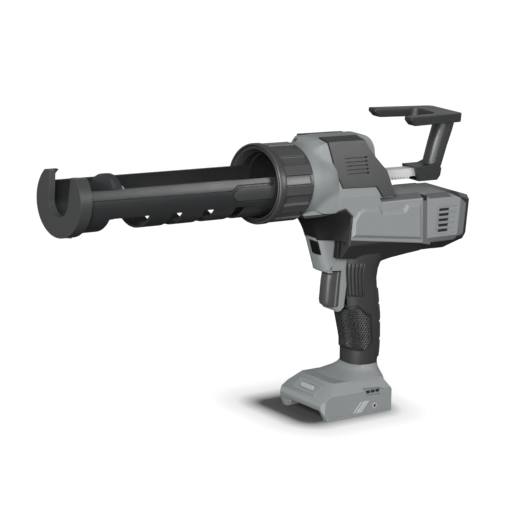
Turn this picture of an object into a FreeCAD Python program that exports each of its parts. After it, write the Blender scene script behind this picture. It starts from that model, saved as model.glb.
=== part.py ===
"""Cordless caulking tool, in millimetres.

The origin is the middle of the battery foot's base, on the surface that the tool stands on.
X points to the muzzle, Y to the tool's left and Z up. The barrel axis is parallel to X.
"""
import FreeCAD, Part
import math
import os
import re

import Sketcher

Vector = FreeCAD.Vector
document = FreeCAD.newDocument("CaulkingTool")
sheet = document.addObject("Spreadsheet::Sheet", "Sizes")
aliases = {}
nodes = []
TURNS = {
    "X": FreeCAD.Rotation(Vector(0, 1, 0), 90),
    "Y": FreeCAD.Rotation(Vector(1, 0, 0), -90),
    "Z": FreeCAD.Rotation(),
}
PLANE_TURNS = {
    "XY_Plane": FreeCAD.Rotation(),
    "XZ_Plane": FreeCAD.Rotation(Vector(1, 0, 0), 90),
    "YZ_Plane": FreeCAD.Rotation(Vector(1, 1, 1), 120),
}


def sizes(cells):
    """Adds driving dimensions to the sheet, one row each."""
    for alias, size in cells.items():
        row = len(aliases) + 1
        aliases[alias] = f"B{row}"
        sheet.set(f"A{row}", alias)
        sheet.set(f"B{row}", str(size))
        sheet.setAlias(f"B{row}", alias)
    sheet.recompute()


def formula(text):
    """Turns words of the sheet into an expression that other objects can hold."""

    def spell(word):
        return f"Sizes.{word.group()}" if word.group() in aliases else word.group()

    return re.sub(r"[a-z]\w*", spell, str(text))


def number(text):
    """Reads the present value of a formula from a spare cell of the sheet."""
    sheet.set("D1", f"={text}")
    sheet.recompute()
    result = float(sheet.get("D1"))
    sheet.clear("D1")
    return result


def bind(thing, **formulas):
    """Binds properties of an object to the sheet."""
    for name, text in formulas.items():
        thing.setExpression(name.replace("__", "."), formula(text))
    return thing


def seat(thing, x, y, z, turn=FreeCAD.Rotation()):
    """Gives an object its Placement, bound to the sheet."""
    thing.Placement = FreeCAD.Placement(Vector(), turn)
    return bind(thing, Placement__Base__x=x, Placement__Base__y=y, Placement__Base__z=z)


def box(name, x, y, z):
    """Makes a box from the two ends of its three sides."""
    block = document.addObject("Part::Box", name)
    bind(block, Length=f"({x[1]}) - ({x[0]})", Width=f"({y[1]}) - ({y[0]})",
         Height=f"({z[1]}) - ({z[0]})")
    return seat(block, x[0], y[0], z[0])


def along(axis, start, first, second):
    """Orders a place given along an axis and across it as x, y and z."""
    return {"X": (start, first, second), "Y": (first, start, second), "Z": (first, second, start)}[axis]


def rod(name, axis, radius, ends, first, second):
    """Makes a cylinder between two ends on a line parallel to an axis."""
    cylinder = document.addObject("Part::Cylinder", name)
    bind(cylinder, Radius=radius, Height=f"({ends[1]}) - ({ends[0]})")
    return seat(cylinder, *along(axis, ends[0], first, second), TURNS[axis])


def cone(name, radii, ends, y, z):
    """Makes a cone along X."""
    shape = document.addObject("Part::Cone", name)
    bind(shape, Radius1=radii[0], Radius2=radii[1], Height=f"({ends[1]}) - ({ends[0]})")
    return seat(shape, ends[0], y, z, TURNS["X"])


def fuse(name, *shapes):
    """Joins objects into one."""
    joined = document.addObject("Part::MultiFuse", name)
    joined.Shapes = list(shapes)
    return joined


def common(name, *shapes):
    """Keeps what all objects share."""
    shared = document.addObject("Part::MultiCommon", name)
    shared.Shapes = list(shapes)
    return shared


def cut(name, base, *tools):
    """Takes objects away from another one."""
    left = document.addObject("Part::Cut", name)
    left.Base = base
    left.Tool = tools[0] if len(tools) == 1 else fuse(f"{name}_tools", *tools)
    return left


def tube(name, axis, radii, ends, first, second):
    """Makes a sleeve from its outer and inner radius."""
    inner_ends = (f"{ends[0]} - overrun", f"{ends[1]} + overrun")
    outer = rod(f"{name}_outside", axis, radii[0], ends, first, second)
    inner = rod(f"{name}_inside", axis, radii[1], inner_ends, first, second)
    return cut(name, outer, inner)


def polygon(owner, name, plane, points, offset):
    """Draws a closed outline whose corners are bound to the sheet."""
    sketch = owner.newObject("Sketcher::SketchObject", name)
    sketch.AttachmentSupport = [(next(f for f in owner.Origin.OriginFeatures if f.Role == plane), "")]
    sketch.MapMode = "FlatFace"
    bind(sketch, AttachmentOffset__Base__z=offset)
    draw(sketch, points)
    return sketch


def section(name, plane, points, offset):
    """Draws an outline that stands alone, as one section of a loft."""
    sketch = document.addObject("Sketcher::SketchObject", name)
    axis = {"XY_Plane": "Z", "XZ_Plane": "Y", "YZ_Plane": "X"}[plane]
    seat(sketch, *along(axis, offset, "0", "0"), PLANE_TURNS[plane])
    draw(sketch, points)
    return sketch


def draw(sketch, points):
    """Adds the lines of an outline and ties each corner to its two formulas."""
    count = len(points)
    corners = [Vector(number(across), number(up), 0) for across, up in points]
    sketch.addGeometry([Part.LineSegment(corners[i], corners[(i + 1) % count]) for i in range(count)])
    rules = [Sketcher.Constraint("Coincident", i, 2, (i + 1) % count, 1) for i in range(count)]
    for i, corner in enumerate(corners):
        rules.append(Sketcher.Constraint("DistanceX", -1, 1, i, 1, corner.x))
        rules.append(Sketcher.Constraint("DistanceY", -1, 1, i, 1, corner.y))
    sketch.addConstraint(rules)
    for i, (across, up) in enumerate(points):
        sketch.renameConstraint(count + 2 * i, f"across{i}")
        sketch.renameConstraint(count + 2 * i + 1, f"up{i}")
        sketch.setExpression(f"Constraints.across{i}", formula(across))
        sketch.setExpression(f"Constraints.up{i}", formula(up))


def prism(name, plane, points, ends):
    """Pads an outline between two places along its plane's axis, in a body of its own."""
    body = document.addObject("PartDesign::Body", name)
    offset = f"-({ends[1]})" if plane == "XZ_Plane" else ends[0]
    pad = body.newObject("PartDesign::Pad", f"{name}_pad")
    pad.Profile = polygon(body, f"{name}_sketch", plane, points, offset)
    bind(pad, Length=f"({ends[1]}) - ({ends[0]})")
    return body


def loft(name, *sections):
    """Lofts a solid through sections, straight between outlines and smooth through ellipses."""
    solid = document.addObject("Part::Loft", name)
    solid.Sections = list(sections)
    solid.Solid = True
    solid.Ruled = sections[0].TypeId.startswith("Sketcher")
    return solid


def ellipse(name, radii, x, z):
    """Draws a level ellipse on the tool's middle plane."""
    ring = document.addObject("Part::Ellipse", name)
    bind(ring, MajorRadius=radii[0], MinorRadius=radii[1])
    return seat(ring, x, "0", z)


def outline(word, shares):
    """Lays shares over the length and height of a named frame."""
    return [(f"{word}_x + {along_share} * {word}_length", f"{word}_z + {up_share} * {word}_height")
            for along_share, up_share in shares]


def mirrored(half, low, high, shares):
    """Lays shares over a half width and a height, on both sides of the middle plane."""
    points = [(f"{across} * ({half})", f"{low} + {up} * (({high}) - ({low}))") for across, up in shares]
    return points + [(f"-({across})", up) for across, up in reversed(points)]


def node(label, thing):
    """Names a finished sub-part, which gets a file of its own."""
    thing.Label = label
    nodes.append(thing)
    return thing


def shaped(label, shape):
    """Names a sub-part whose form is worked out by code."""
    return node(label, code_shape(f"{label}_shape", shape))


def code_shape(name, shape):
    """Holds a shape that is worked out by code."""
    feature = document.addObject("Part::Feature", name)
    feature.Shape = shape
    return feature


# Clearances and the datum lines that several pieces share
overrun_sizes = {"overrun": 2, "seat_gap": 0.2, "move_gap": 0.5, "run_gap": 0.05, "touch_gap": 0.3}
sizes(overrun_sizes)
axis_sizes = {"axis_height": 225.5, "cross_x": 19}
sizes(axis_sizes)

# Carriage: half tube, end cap, flange and rivets
tube_sizes = {"tube_outer": 28.2, "tube_wall": 2.2, "tube_rise": 11.5, "tube_rear_x": 113.8,
              "tube_front_x": 334}
sizes(tube_sizes)
collar_sizes = {"collar_front_x": 130, "collar_length": 41.5, "collar_outer": 36, "collar_lip": 8,
                "collar_lip_bore": 30.6}
sizes(collar_sizes)
cap_sizes = {"cap_outer": 31, "cap_front_x": 340, "cap_depth": 11.5, "cap_slot": 13.5, "cap_rise": 22,
             "rivet_radius": 1.5, "rivet_head": 0.4}
sizes(cap_sizes)
window_sizes = {"window_x": 227.4, "window_pitch": 34.7, "window_length": 12.3, "window_floor": 12.8}
sizes(window_sizes)
long_sizes = {"long_window_x": 262.5, "long_window_length": 43, "rivet_spread": 7}
sizes(long_sizes)
flange_sizes = {"flange_outer": 32.3, "flange_length": 7.8}
sizes(flange_sizes)
window_count = 3
cap_rear = "cap_front_x - cap_depth"
tube_inner = "tube_outer - tube_wall"
rivet_x = f"({cap_rear} + tube_front_x) / 2"
rivets = [rod(f"rivet_{side}", "Z", "rivet_radius",
              ("axis_height - cap_outer + rivet_head", f"axis_height - ({tube_inner})"), rivet_x, place)
          for side, place in (("left", "rivet_spread"), ("right", "-rivet_spread"))]
tube_blank = tube("tube_blank", "X", ("tube_outer", tube_inner), ("tube_rear_x", "tube_front_x"), "0",
                  "axis_height")
tube_mouth = box("tube_mouth", ("collar_front_x", "tube_front_x + overrun"),
                 ("-tube_outer - overrun", "tube_outer + overrun"),
                 ("axis_height + tube_rise", "axis_height + tube_outer + overrun"))
window_spans = [("long_window_x", "long_window_x + long_window_length")]
for index in range(window_count):
    window_rear = f"window_x - {index} * window_pitch"
    window_spans.append((window_rear, f"{window_rear} + window_length"))
windows = [box(f"window_{index}", span, ("-tube_outer - overrun", "tube_outer + overrun"),
               ("axis_height - tube_outer - overrun", "axis_height - window_floor"))
           for index, span in enumerate(window_spans)]
node("carriage_tube", cut("carriage_tube", tube_blank, tube_mouth, *windows, *rivets))
cap_blank = rod("cap_blank", "X", "cap_outer", (cap_rear, "cap_front_x"), "0", "axis_height")
cap_socket = rod("cap_socket", "X", "tube_outer", (f"{cap_rear} - overrun", "tube_front_x"), "0",
                 "axis_height")
cap_bore = rod("cap_bore", "X", "cap_slot", (cap_rear, "cap_front_x + overrun"), "0", "axis_height")
cap_mouth = box("cap_mouth", (cap_rear, "cap_front_x + overrun"), ("-cap_slot", "cap_slot"),
                ("axis_height", "axis_height + cap_outer"))
cap_top = box("cap_top", (f"{cap_rear} - overrun", "cap_front_x + overrun"),
              ("-cap_outer - overrun", "cap_outer + overrun"),
              ("axis_height + cap_rise", "axis_height + cap_outer + overrun"))
node("end_cap", cut("end_cap", cap_blank, cap_socket, cap_bore, cap_mouth, cap_top, *rivets))
node("cap_rivets", fuse("cap_rivets", *rivets))
node("carriage_flange", tube("carriage_flange", "X", ("flange_outer", "tube_outer"),
                             ("tube_rear_x", "tube_rear_x + flange_length"), "0", "axis_height"))

# Collar that clamps the carriage to the nose
flute_sizes = {"flute_radius": 6, "flute_depth": 1.1, "flute_front": 7, "flute_rear": 3}
sizes(flute_sizes)
flute_count = 16
collar_rear = "collar_front_x - collar_length"
collar_bore = "flange_outer + touch_gap"
collar_blank = rod("collar_blank", "X", "collar_outer", (collar_rear, "collar_front_x"), "0",
                   "axis_height")
collar_hollow = rod("collar_hollow", "X", collar_bore,
                    (f"{collar_rear} - overrun", "collar_front_x - collar_lip"),
                    "0", "axis_height")
collar_mouth = rod("collar_mouth", "X", "collar_lip_bore", (collar_rear, "collar_front_x + overrun"),
                   "0",
                   "axis_height")
flutes = []
for index in range(flute_count):
    turn = f"{360 / flute_count * (index + 0.5)}"
    reach = "(collar_outer + flute_radius - flute_depth)"
    flutes.append(rod(f"flute_{index}", "X", "flute_radius",
                      (f"{collar_rear} + flute_rear", "collar_front_x - flute_front"),
                      f"{reach} * cos({turn})", f"axis_height + {reach} * sin({turn})"))
node("collar_nut", cut("collar_nut", collar_blank, collar_hollow, collar_mouth, *flutes))

# Gear tooth forms, worked out from the module and the tooth count
gear_sizes = {"gear_module": 1.25, "planet_module": 0.8, "backlash": 0.16}
sizes(gear_sizes)
pressure_angle = math.radians(20)
addendum_share = 0.8
dedendum_share = 1.1
flank_shares = (0, 0.35, 0.7, 1)


def tooth_half_angle(teeth, module, play, radius):
    """Half the angle that a tooth covers at a radius, along an involute flank."""
    pitch_radius = teeth * module / 2
    base_radius = pitch_radius * math.cos(pressure_angle)
    slope = math.acos(min(1, base_radius / radius))
    lean = math.tan(pressure_angle) - pressure_angle - math.tan(slope) + slope
    return math.pi / (2 * teeth) - play / (2 * pitch_radius) + lean


def gear_outline(teeth, module, play, phase, inward=False):
    """Corners of a spur gear, as points (across, up) round its axis."""
    pitch_radius = teeth * module / 2
    side = -1 if inward else 1
    root = pitch_radius - side * dedendum_share * module
    tip = pitch_radius + side * addendum_share * module
    corners = []
    for index in range(teeth):
        middle = phase + 2 * math.pi * index / teeth
        for edge, order in ((-1, flank_shares), (1, flank_shares[::-1])):
            for share in order:
                radius = root + share * (tip - root)
                half = tooth_half_angle(teeth, module, play * side, radius)
                if inward:
                    half = math.pi / teeth - half
                corners.append((radius * math.cos(middle + edge * half),
                                radius * math.sin(middle + edge * half)))
    return corners


def gear_face(corners, axis, place):
    """Lays gear corners out across an axis and fills them."""
    points = [Vector(*along(axis, place[0], place[1] + across, place[2] + up)) for across,
              up in corners]
    return Part.Face(Part.makePolygon(points + points[:1]))


def spur_gear(teeth, module_word, ends, axis, centre, phase, bore):
    """Makes a spur gear with a bore, between two ends along its axis."""
    module = number(module_word)
    start = number(ends[0])
    width = number(ends[1]) - start
    place = (start, number(centre[0]), number(centre[1]))
    direction = Vector(*along(axis, width, 0, 0))
    blank = gear_face(gear_outline(teeth, module, number("backlash"), phase), axis,
                      place).extrude(direction)
    hole = Part.makeCylinder(number(bore), width, Vector(*along(axis, *place)),
                             Vector(*along(axis, 1, 0, 0)))
    return blank.cut(hole)


# Rod: rack, plunger, its nut and the pull handle
rack_sizes = {"rack_top": 3.5, "rack_depth": 10, "rack_width": 10, "rack_front_x": 290,
              "rack_rear_x": -93, "rack_plain": 16}
sizes(rack_sizes)
plunger_sizes = {"plunger_radius": 19.5, "plunger_front_x": 297, "plunger_depth": 9.5,
                 "plunger_bevel": 2}
sizes(plunger_sizes)
nut_sizes = {"nut_radius": 9, "nut_depth": 10, "plunger_bore": 4, "screw_head_radius": 6.5,
             "screw_head_depth": 1.5}
sizes(nut_sizes)
stem_sizes = {"stem_x": -116, "stem_z": 216.5, "stem_length": 53, "stem_height": 57.5, "stem_half": 9.3}
sizes(stem_sizes)
fork_sizes = {"fork_x": -108, "fork_length": 77, "fork_half": 29, "fork_thick": 8.8, "pin_radius": 2,
              "pin_inset": 11}
sizes(fork_sizes)
drive_teeth = 14
stem_shares = ((1, 0.252), (0.594, 0.252), (0.56, 0.339), (0.43, 0.861), (0.43, 1), (0.00943, 1),
               (0.0491, 0.861), (0.234, 0.2), (0.283, 0.0783), (0.377, 0), (0.934, 0), (0.736, 0.0783))
fork_shares = ((1, 1), (0.0519, 0.776), (0, 0.655), (0, -0.655), (0.0519, -0.776), (1, -1), (1, -0.655),
               (0.442, -0.5), (0.377, -0.3), (0.377, 0.3), (0.442, 0.5), (1, 0.655))
rack_low = "axis_height + rack_top - rack_depth"
pitch_line = f"{rack_low} + {addendum_share} * gear_module"
drive_height = f"{pitch_line} - gear_module * {drive_teeth / 2}"


def rack_outline():
    """Side view of the rack: a bar whose lower edge carries the teeth, one of them over the drive pinion."""
    module = number("gear_module")
    pitch = math.pi * module
    front = number("rack_front_x")
    rear = number("rack_rear_x")
    plain = number("rack_plain")
    root = number(rack_low) + (addendum_share + dedendum_share) * module
    tip = number(rack_low)
    top = number("axis_height + rack_top")
    slope = math.tan(pressure_angle) * module
    half = pitch / 4 - number("backlash") / 2
    first = math.ceil((rear + 2 * plain - number("cross_x")) / pitch)
    last = math.floor((front - plain - number("cross_x")) / pitch)
    points = [(rear, top), (rear, root)]
    for index in range(first, last + 1):
        middle = number("cross_x") + index * pitch
        root_half = half + dedendum_share * slope
        tip_half = half - addendum_share * slope
        points += [(middle - root_half, root), (middle - tip_half, tip), (middle + tip_half, tip),
                   (middle + root_half, root)]
    return points + [(front, root), (front, top)]


half_rack = number("rack_width") / 2
rack_points = [Vector(x, -half_rack, z) for x, z in rack_outline()]
rack_blank = Part.Face(Part.makePolygon(rack_points + rack_points[:1])).extrude(Vector(0, 2 * half_rack,
                                                                                       0))
rack_shape = code_shape("rack_shape", rack_blank)
plunger_rear = "plunger_front_x - plunger_depth"
nut_rear = f"{plunger_rear} - nut_depth"
plunger_hole = rod("plunger_hole", "X", "plunger_bore",
                   ("rack_front_x - rack_plain", "plunger_front_x + overrun"),
                   "0", "axis_height + rack_top - rack_depth / 2")
plunger_body = rod("plunger_body", "X", "plunger_radius",
                   (plunger_rear, "plunger_front_x - plunger_bevel"), "0",
                   "axis_height")
plunger_nose = cone("plunger_nose", ("plunger_radius", "plunger_radius - plunger_bevel"),
                    ("plunger_front_x - plunger_bevel", "plunger_front_x"), "0", "axis_height")
nut_blank = rod("nut_blank", "X", "nut_radius", (nut_rear, plunger_rear), "0", "axis_height")
screw_seat = rod("screw_seat", "X", "screw_head_radius",
                 ("plunger_front_x - screw_head_depth", "plunger_front_x + overrun"), "0",
                 "axis_height + rack_top - rack_depth / 2")
rack_end = box("rack_end", (f"{nut_rear} - overrun", "rack_front_x"),
               ("-rack_width / 2", "rack_width / 2"),
               (rack_low, "axis_height + rack_top"))
node("plunger_nut", cut("plunger_nut", nut_blank, rack_end, plunger_hole))
plunger_disc = fuse("plunger_disc", plunger_body, plunger_nose)
node("plunger", cut("plunger", plunger_disc, rack_end, plunger_hole, screw_seat))
screw_shank = common("screw_shank", plunger_hole, box(
    "screw_span", ("rack_front_x - rack_plain", "plunger_front_x"), ("-cap_outer", "cap_outer"),
    ("axis_height - cap_outer", "axis_height + cap_outer")))
screw_head = rod("screw_head", "X", "screw_head_radius",
                 ("plunger_front_x - screw_head_depth", "plunger_front_x"),
                 "0", "axis_height + rack_top - rack_depth / 2")
node("plunger_screw", fuse("plunger_screw", screw_shank, screw_head))
stem_top = "stem_z + stem_height"
pin_x = "rack_rear_x + pin_inset"
pin = rod("pin", "Y", "pin_radius", ("-stem_half", "stem_half"), pin_x,
          "axis_height + rack_top - rack_depth / 3")
node("rack_rod", cut("rack_rod", rack_shape, plunger_hole, pin))
stem = prism("stem", "XZ_Plane", outline("stem", stem_shares), ("-stem_half", "stem_half"))
fork_points = [(f"fork_x + {along_share} * fork_length", f"{across_share} * fork_half")
               for along_share, across_share in fork_shares]
fork = prism("fork", "XY_Plane", fork_points, (stem_top, f"{stem_top} + fork_thick"))
rack_socket = box("rack_socket", ("rack_rear_x", "stem_x + stem_length + overrun"),
                  ("-rack_width / 2", "rack_width / 2"), (rack_low, "axis_height + rack_top"))
node("pull_handle", cut("pull_handle", fuse("pull_handle_blank", stem, fork), rack_socket, pin))
node("handle_pin", pin)

# Drive shaft under the rack, with the pinion that moves it and the wheel that is driven
shaft_sizes = {"shaft_radius": 4, "shaft_reach": 22, "drive_half": 6, "wheel_inner_y": 13,
               "wheel_outer_y": 18.5, "bush_wall": 2.2}
sizes(shaft_sizes)
plate_sizes = {"plate_inner_y": 19.2, "plate_outer_y": 22.2}
sizes(plate_sizes)
wheel_teeth = 36
clutch_teeth = 16
shaft_height = drive_height
shaft_place = ("cross_x", shaft_height)
pinion_teeth = spur_gear(drive_teeth, "gear_module", ("-drive_half", "drive_half"), "Y", shaft_place,
                         math.pi / 2 + math.pi / drive_teeth, "shaft_radius")
shaft = rod("drive_shaft_bar", "Y", "shaft_radius", ("-shaft_reach", "shaft_reach"), *shaft_place)
node("drive_shaft", shaft)
shaped("drive_pinion", pinion_teeth)
shaped("drive_wheel", spur_gear(wheel_teeth, "gear_module", ("-wheel_outer_y", "-wheel_inner_y"), "Y",
                                shaft_place,
                                -math.pi / 2, "shaft_radius"))

# Clutch pinion, free on the cross shaft, and the dog ring that turns it when the motor pushes
cross_sizes = {"cross_radius": 3.5, "dog_radius": 8, "dog_depth": 2.6, "dog_gap": 0.8}
sizes(cross_sizes)
clutch_place = ("cross_x", f"{shaft_height} - gear_module * {(wheel_teeth + clutch_teeth) / 2}")
shaped("clutch_pinion", spur_gear(clutch_teeth, "gear_module", ("-wheel_outer_y", "-wheel_inner_y"),
                                  "Y",
                                  clutch_place, math.pi / 2 - math.pi / clutch_teeth,
                                  "cross_radius + run_gap"))
dog_front = "-wheel_inner_y + dog_gap"
node("clutch_dog", tube("clutch_dog", "Y", ("dog_radius", "cross_radius"), (dog_front,
                                                                            f"{dog_front} + dog_depth"),
                        *clutch_place))
node("cross_shaft", rod("cross_shaft", "Y", "cross_radius", ("-shaft_reach", "shaft_reach"),
                        *clutch_place))

# Bevel pair that turns the drive from the motor axis to the cross shaft
bevel_sizes = {"bevel_face": 4.5, "bevel_hub": 3, "bevel_hub_radius": 7, "carrier_shaft": 5}
sizes(bevel_sizes)
bevel_teeth = 16
bevel_sink_share = 0.2


def bevel_gear(phase, bore, hub):
    """Mitre gear with its apex at the origin and its axis along -X, worked out on its back cone."""
    module = number("gear_module")
    outer = bevel_teeth * module / 2
    shrink = 1 - number("bevel_face") / (outer * math.sqrt(2))
    virtual = bevel_teeth * math.sqrt(2)
    profile = []
    for share in (-bevel_sink_share, *flank_shares[1:]):
        height = -dedendum_share + share * (addendum_share + dedendum_share)
        half = tooth_half_angle(virtual, module, number("backlash"), (virtual / 2 + height) * module)
        profile.append((height * module, half * (virtual / 2 + height) * module))
    outline_points = [(height, -half) for height, half in profile] + [(h, w) for h,
                                                                      w in reversed(profile)]

    def wire(scale, angle):
        points = []
        for height, width in outline_points:
            radius = (outer + height / math.sqrt(2)) * scale
            depth = (outer - height / math.sqrt(2)) * scale
            side = width * scale
            points.append(Vector(-depth, radius * math.cos(angle) - side * math.sin(angle),
                                 radius * math.sin(angle) + side * math.cos(angle)))
        return Part.makePolygon(points + points[:1])

    sunk = dedendum_share * module / math.sqrt(2)
    root = Part.makeCone((outer - sunk), (outer - sunk) * shrink, (outer + sunk) * (1 - shrink),
                         Vector(-(outer + sunk), 0, 0), Vector(1, 0, 0))
    back = Part.makeCylinder(number("bevel_hub_radius"), hub, Vector(-(outer + sunk) - hub, 0, 0),
                             Vector(1, 0, 0))
    teeth = [Part.makeLoft([wire(1, phase + 2 * math.pi * i / bevel_teeth),
                            wire(shrink, phase + 2 * math.pi * i / bevel_teeth)], True, True)
             for i in range(bevel_teeth)]
    blank = root.multiFuse([back] + teeth)
    hole = Part.makeCylinder(bore, 4 * outer, Vector(-3 * outer, 0, 0), Vector(1, 0, 0))
    return blank.cut(hole)


apex = Vector(number("cross_x"), 0, number(clutch_place[1]))
bevel_pinion_shape = bevel_gear(0, number("carrier_shaft"), number("bevel_hub"))
bevel_pinion_shape.translate(apex)
shaped("bevel_pinion", bevel_pinion_shape)
bevel_wheel_shape = bevel_gear(math.pi / bevel_teeth, number("cross_radius"), number("bevel_hub"))
bevel_wheel_shape.rotate(Vector(), Vector(0, 0, 1), -90)
bevel_wheel_shape.translate(apex)
shaped("bevel_wheel", bevel_wheel_shape)

# Planetary stage between the motor and the bevel pinion
planet_sizes = {"planet_front_x": -22, "planet_width": 8, "carrier_radius": 17.5, "carrier_depth": 4,
                "planet_pin": 2, "stage_gap": 0.6}
sizes(planet_sizes)
ring_sizes = {"ring_outer": 23.5, "ring_rear_x": -31.5, "ring_front_x": -15, "rotor_radius": 3}
sizes(ring_sizes)
sun_teeth = 12
planet_teeth = 18
ring_teeth = sun_teeth + 2 * planet_teeth
planet_count = 3
motor_axis = ("0", clutch_place[1])
planet_ends = ("planet_front_x - planet_width", "planet_front_x")
carrier_front = "planet_front_x + stage_gap + carrier_depth"
planet_reach = f"planet_module * {(sun_teeth + planet_teeth) / 2}"
shaped("sun_pinion", spur_gear(sun_teeth, "planet_module", planet_ends, "X", motor_axis, 0,
                               "rotor_radius"))
pins = []
for index in range(planet_count):
    angle = 2 * math.pi * index / planet_count
    centre = (f"{planet_reach} * {math.cos(angle)}",
              f"{motor_axis[1]} + {planet_reach} * {math.sin(angle)}")
    sun_share = angle * sun_teeth / (2 * math.pi)
    planet_phase = angle + math.pi - (0.5 - sun_share) * 2 * math.pi / planet_teeth
    shaped(f"planet_gear_{index + 1}", spur_gear(planet_teeth, "planet_module", planet_ends, "X",
                                                 centre,
                                                 planet_phase, "planet_pin + run_gap"))
    pins.append(rod(f"planet_pin_{index}", "X", "planet_pin",
                    ("planet_front_x - planet_width", carrier_front),
                    *centre))
    if index == 0:
        planet_share = (angle - planet_phase) * planet_teeth / (2 * math.pi)
        ring_phase = angle - (planet_share - 0.5) * 2 * math.pi / ring_teeth
carrier_disc = rod("carrier_disc", "X", "carrier_radius", ("planet_front_x + stage_gap", carrier_front),
                   *motor_axis)
carrier_bar = rod("carrier_bar", "X", "carrier_shaft",
                  (f"{carrier_front} - stage_gap", f"cross_x - gear_module * {bevel_teeth / 2}"),
                  *motor_axis)
node("planet_carrier", fuse("planet_carrier", carrier_disc, carrier_bar, *pins))
ring_teeth_face = gear_face(gear_outline(ring_teeth, number("planet_module"), number("backlash"),
                                         ring_phase, True),
                            "X", (number("ring_rear_x"), 0, number(motor_axis[1])))
ring_length = number("ring_front_x - ring_rear_x")
ring_bore = code_shape("ring_bore", ring_teeth_face.extrude(Vector(ring_length, 0, 0)))
ring_blank = rod("ring_blank", "X", "ring_outer", ("ring_rear_x", "ring_front_x"), *motor_axis)
node("ring_gear", cut("ring_gear", ring_blank, ring_bore))

# Motor: plate, can, stator, rotor, bearings and fan
plate_depth_sizes = {"plate_depth": 5, "bearing_outer": 8, "can_outer": 24.3, "can_wall": 1.8,
                     "can_rear_x": -98, "can_floor": 4}
sizes(plate_depth_sizes)
stator_sizes = {"stator_inner": 14.8, "rotor_core": 14, "core_rear_x": -88, "core_front_x": -48,
                "rotor_rear_x": -108}
sizes(stator_sizes)
fan_sizes = {"fan_radius": 20, "fan_hub": 6, "fan_rear_x": -107, "fan_depth": 6.5, "blade_thick": 1.6}
sizes(fan_sizes)
fan_blades = 9
plate_rear = "ring_rear_x - plate_depth"
node("motor_plate", tube("motor_plate", "X", ("ring_outer", "bearing_outer"), (plate_rear,
                                                                               "ring_rear_x"),
                         *motor_axis))
can_blank = rod("can_blank", "X", "can_outer", ("can_rear_x", plate_rear), *motor_axis)
can_bore = rod("can_bore", "X", "can_outer - can_wall",
               ("can_rear_x + can_floor", f"{plate_rear} + overrun"),
               *motor_axis)
can_hole = rod("can_hole", "X", "bearing_outer", ("can_rear_x - overrun", f"{plate_rear}"), *motor_axis)
node("motor_can", cut("motor_can", can_blank, can_bore, can_hole))
core_span = ("core_rear_x", "core_front_x")
node("stator", tube("stator", "X", ("can_outer - can_wall", "stator_inner"), core_span, *motor_axis))
bearings = [tube(f"bearing_{place}", "X", ("bearing_outer", "rotor_radius + run_gap"), ends,
                 *motor_axis)
            for place, ends in (("front", (plate_rear, "ring_rear_x")),
                                ("rear", ("can_rear_x", "can_rear_x + can_floor")))]
node("rotor_bearings", fuse("rotor_bearings", *bearings))
node("rotor_shaft", rod("rotor_shaft", "X", "rotor_radius", ("rotor_rear_x", "planet_front_x"),
                        *motor_axis))
node("rotor_core", tube("rotor_core", "X", ("rotor_core", "rotor_radius"), core_span, *motor_axis))
fan_ends = ("fan_rear_x", "fan_rear_x + fan_depth")
fan_parts = [tube("fan_hub", "X", ("fan_hub", "rotor_radius"), fan_ends, *motor_axis)]
for index in range(fan_blades):
    blade = document.addObject("Part::Box", f"fan_blade_{index}")
    bind(blade, Length="fan_depth", Width="fan_radius - fan_hub + blade_thick", Height="blade_thick")
    turn = 2 * math.pi * index / fan_blades
    inner = "(fan_hub - blade_thick)"
    seat(blade, "fan_rear_x", f"{inner} * {math.cos(turn)}",
         f"{motor_axis[1]} + {inner} * {math.sin(turn)}",
         FreeCAD.Rotation(Vector(1, 0, 0), math.degrees(turn)))
    fan_parts.append(blade)
node("fan", fuse("fan", *fan_parts))

# Cast gear frame: nose cup and spigot, two cheeks and the rear wall, with the bushes that it holds
cup_sizes = {"cup_outer": 29, "cup_rear_x": 60, "cup_floor": 6, "cup_bore": 26.5, "frame_low": 166,
             "frame_top": 222, "cheek_step_x": 32}
sizes(cup_sizes)
cheek_sizes = {"cheek_step_z": 203, "wall_front_x": -5, "neck_front_x": 88, "neck_radius": 33}
sizes(cheek_sizes)
cheeks = []
for side, ends in (("left", ("plate_inner_y", "plate_outer_y")),
                   ("right", ("-plate_outer_y", "-plate_inner_y"))):
    cheeks.append(box(f"cheek_{side}", ("ring_front_x", "cheek_step_x"), ends,
                      ("frame_low", "frame_top")))
    cheeks.append(box(f"cheek_front_{side}", ("cheek_step_x", "cup_rear_x"), ends,
                      ("cheek_step_z", "frame_top")))
rear_wall = box("rear_wall", ("ring_front_x", "wall_front_x"), ("-plate_outer_y", "plate_outer_y"),
                ("frame_low", "axis_height - 2 * rack_depth"))
cup = rod("cup", "X", "cup_outer", ("cup_rear_x", "neck_front_x"), "0", "axis_height")
spigot = rod("spigot", "X", "flange_outer", ("neck_front_x + touch_gap", "tube_rear_x - touch_gap"),
             "0",
             "axis_height")
spigot_root = rod("spigot_root", "X", "cup_outer", ("neck_front_x", "tube_rear_x - touch_gap"), "0",
                  "axis_height")
cup_hollow = rod("cup_hollow", "X", "cup_bore", ("cup_rear_x + cup_floor", "tube_rear_x"), "0",
                 "axis_height")
rack_way = box("rack_way", ("rack_rear_x", "rack_front_x"),
               ("-rack_width / 2 - move_gap", "rack_width / 2 + move_gap"),
               (f"{rack_low} - move_gap", "axis_height + rack_top + move_gap"))
bush_sets = {}
for word, radius, place in (("drive", "shaft_radius", shaft_place),
                            ("cross", "cross_radius", clutch_place)):
    bush_sets[word] = [
        tube(f"{word}_bush_{side}", "Y", (f"{radius} + bush_wall", f"{radius} + run_gap"), ends, *place)
        for side, ends in (("left", ("plate_inner_y", "plate_outer_y")),
                           ("right", ("-plate_outer_y", "-plate_inner_y")))]
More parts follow.
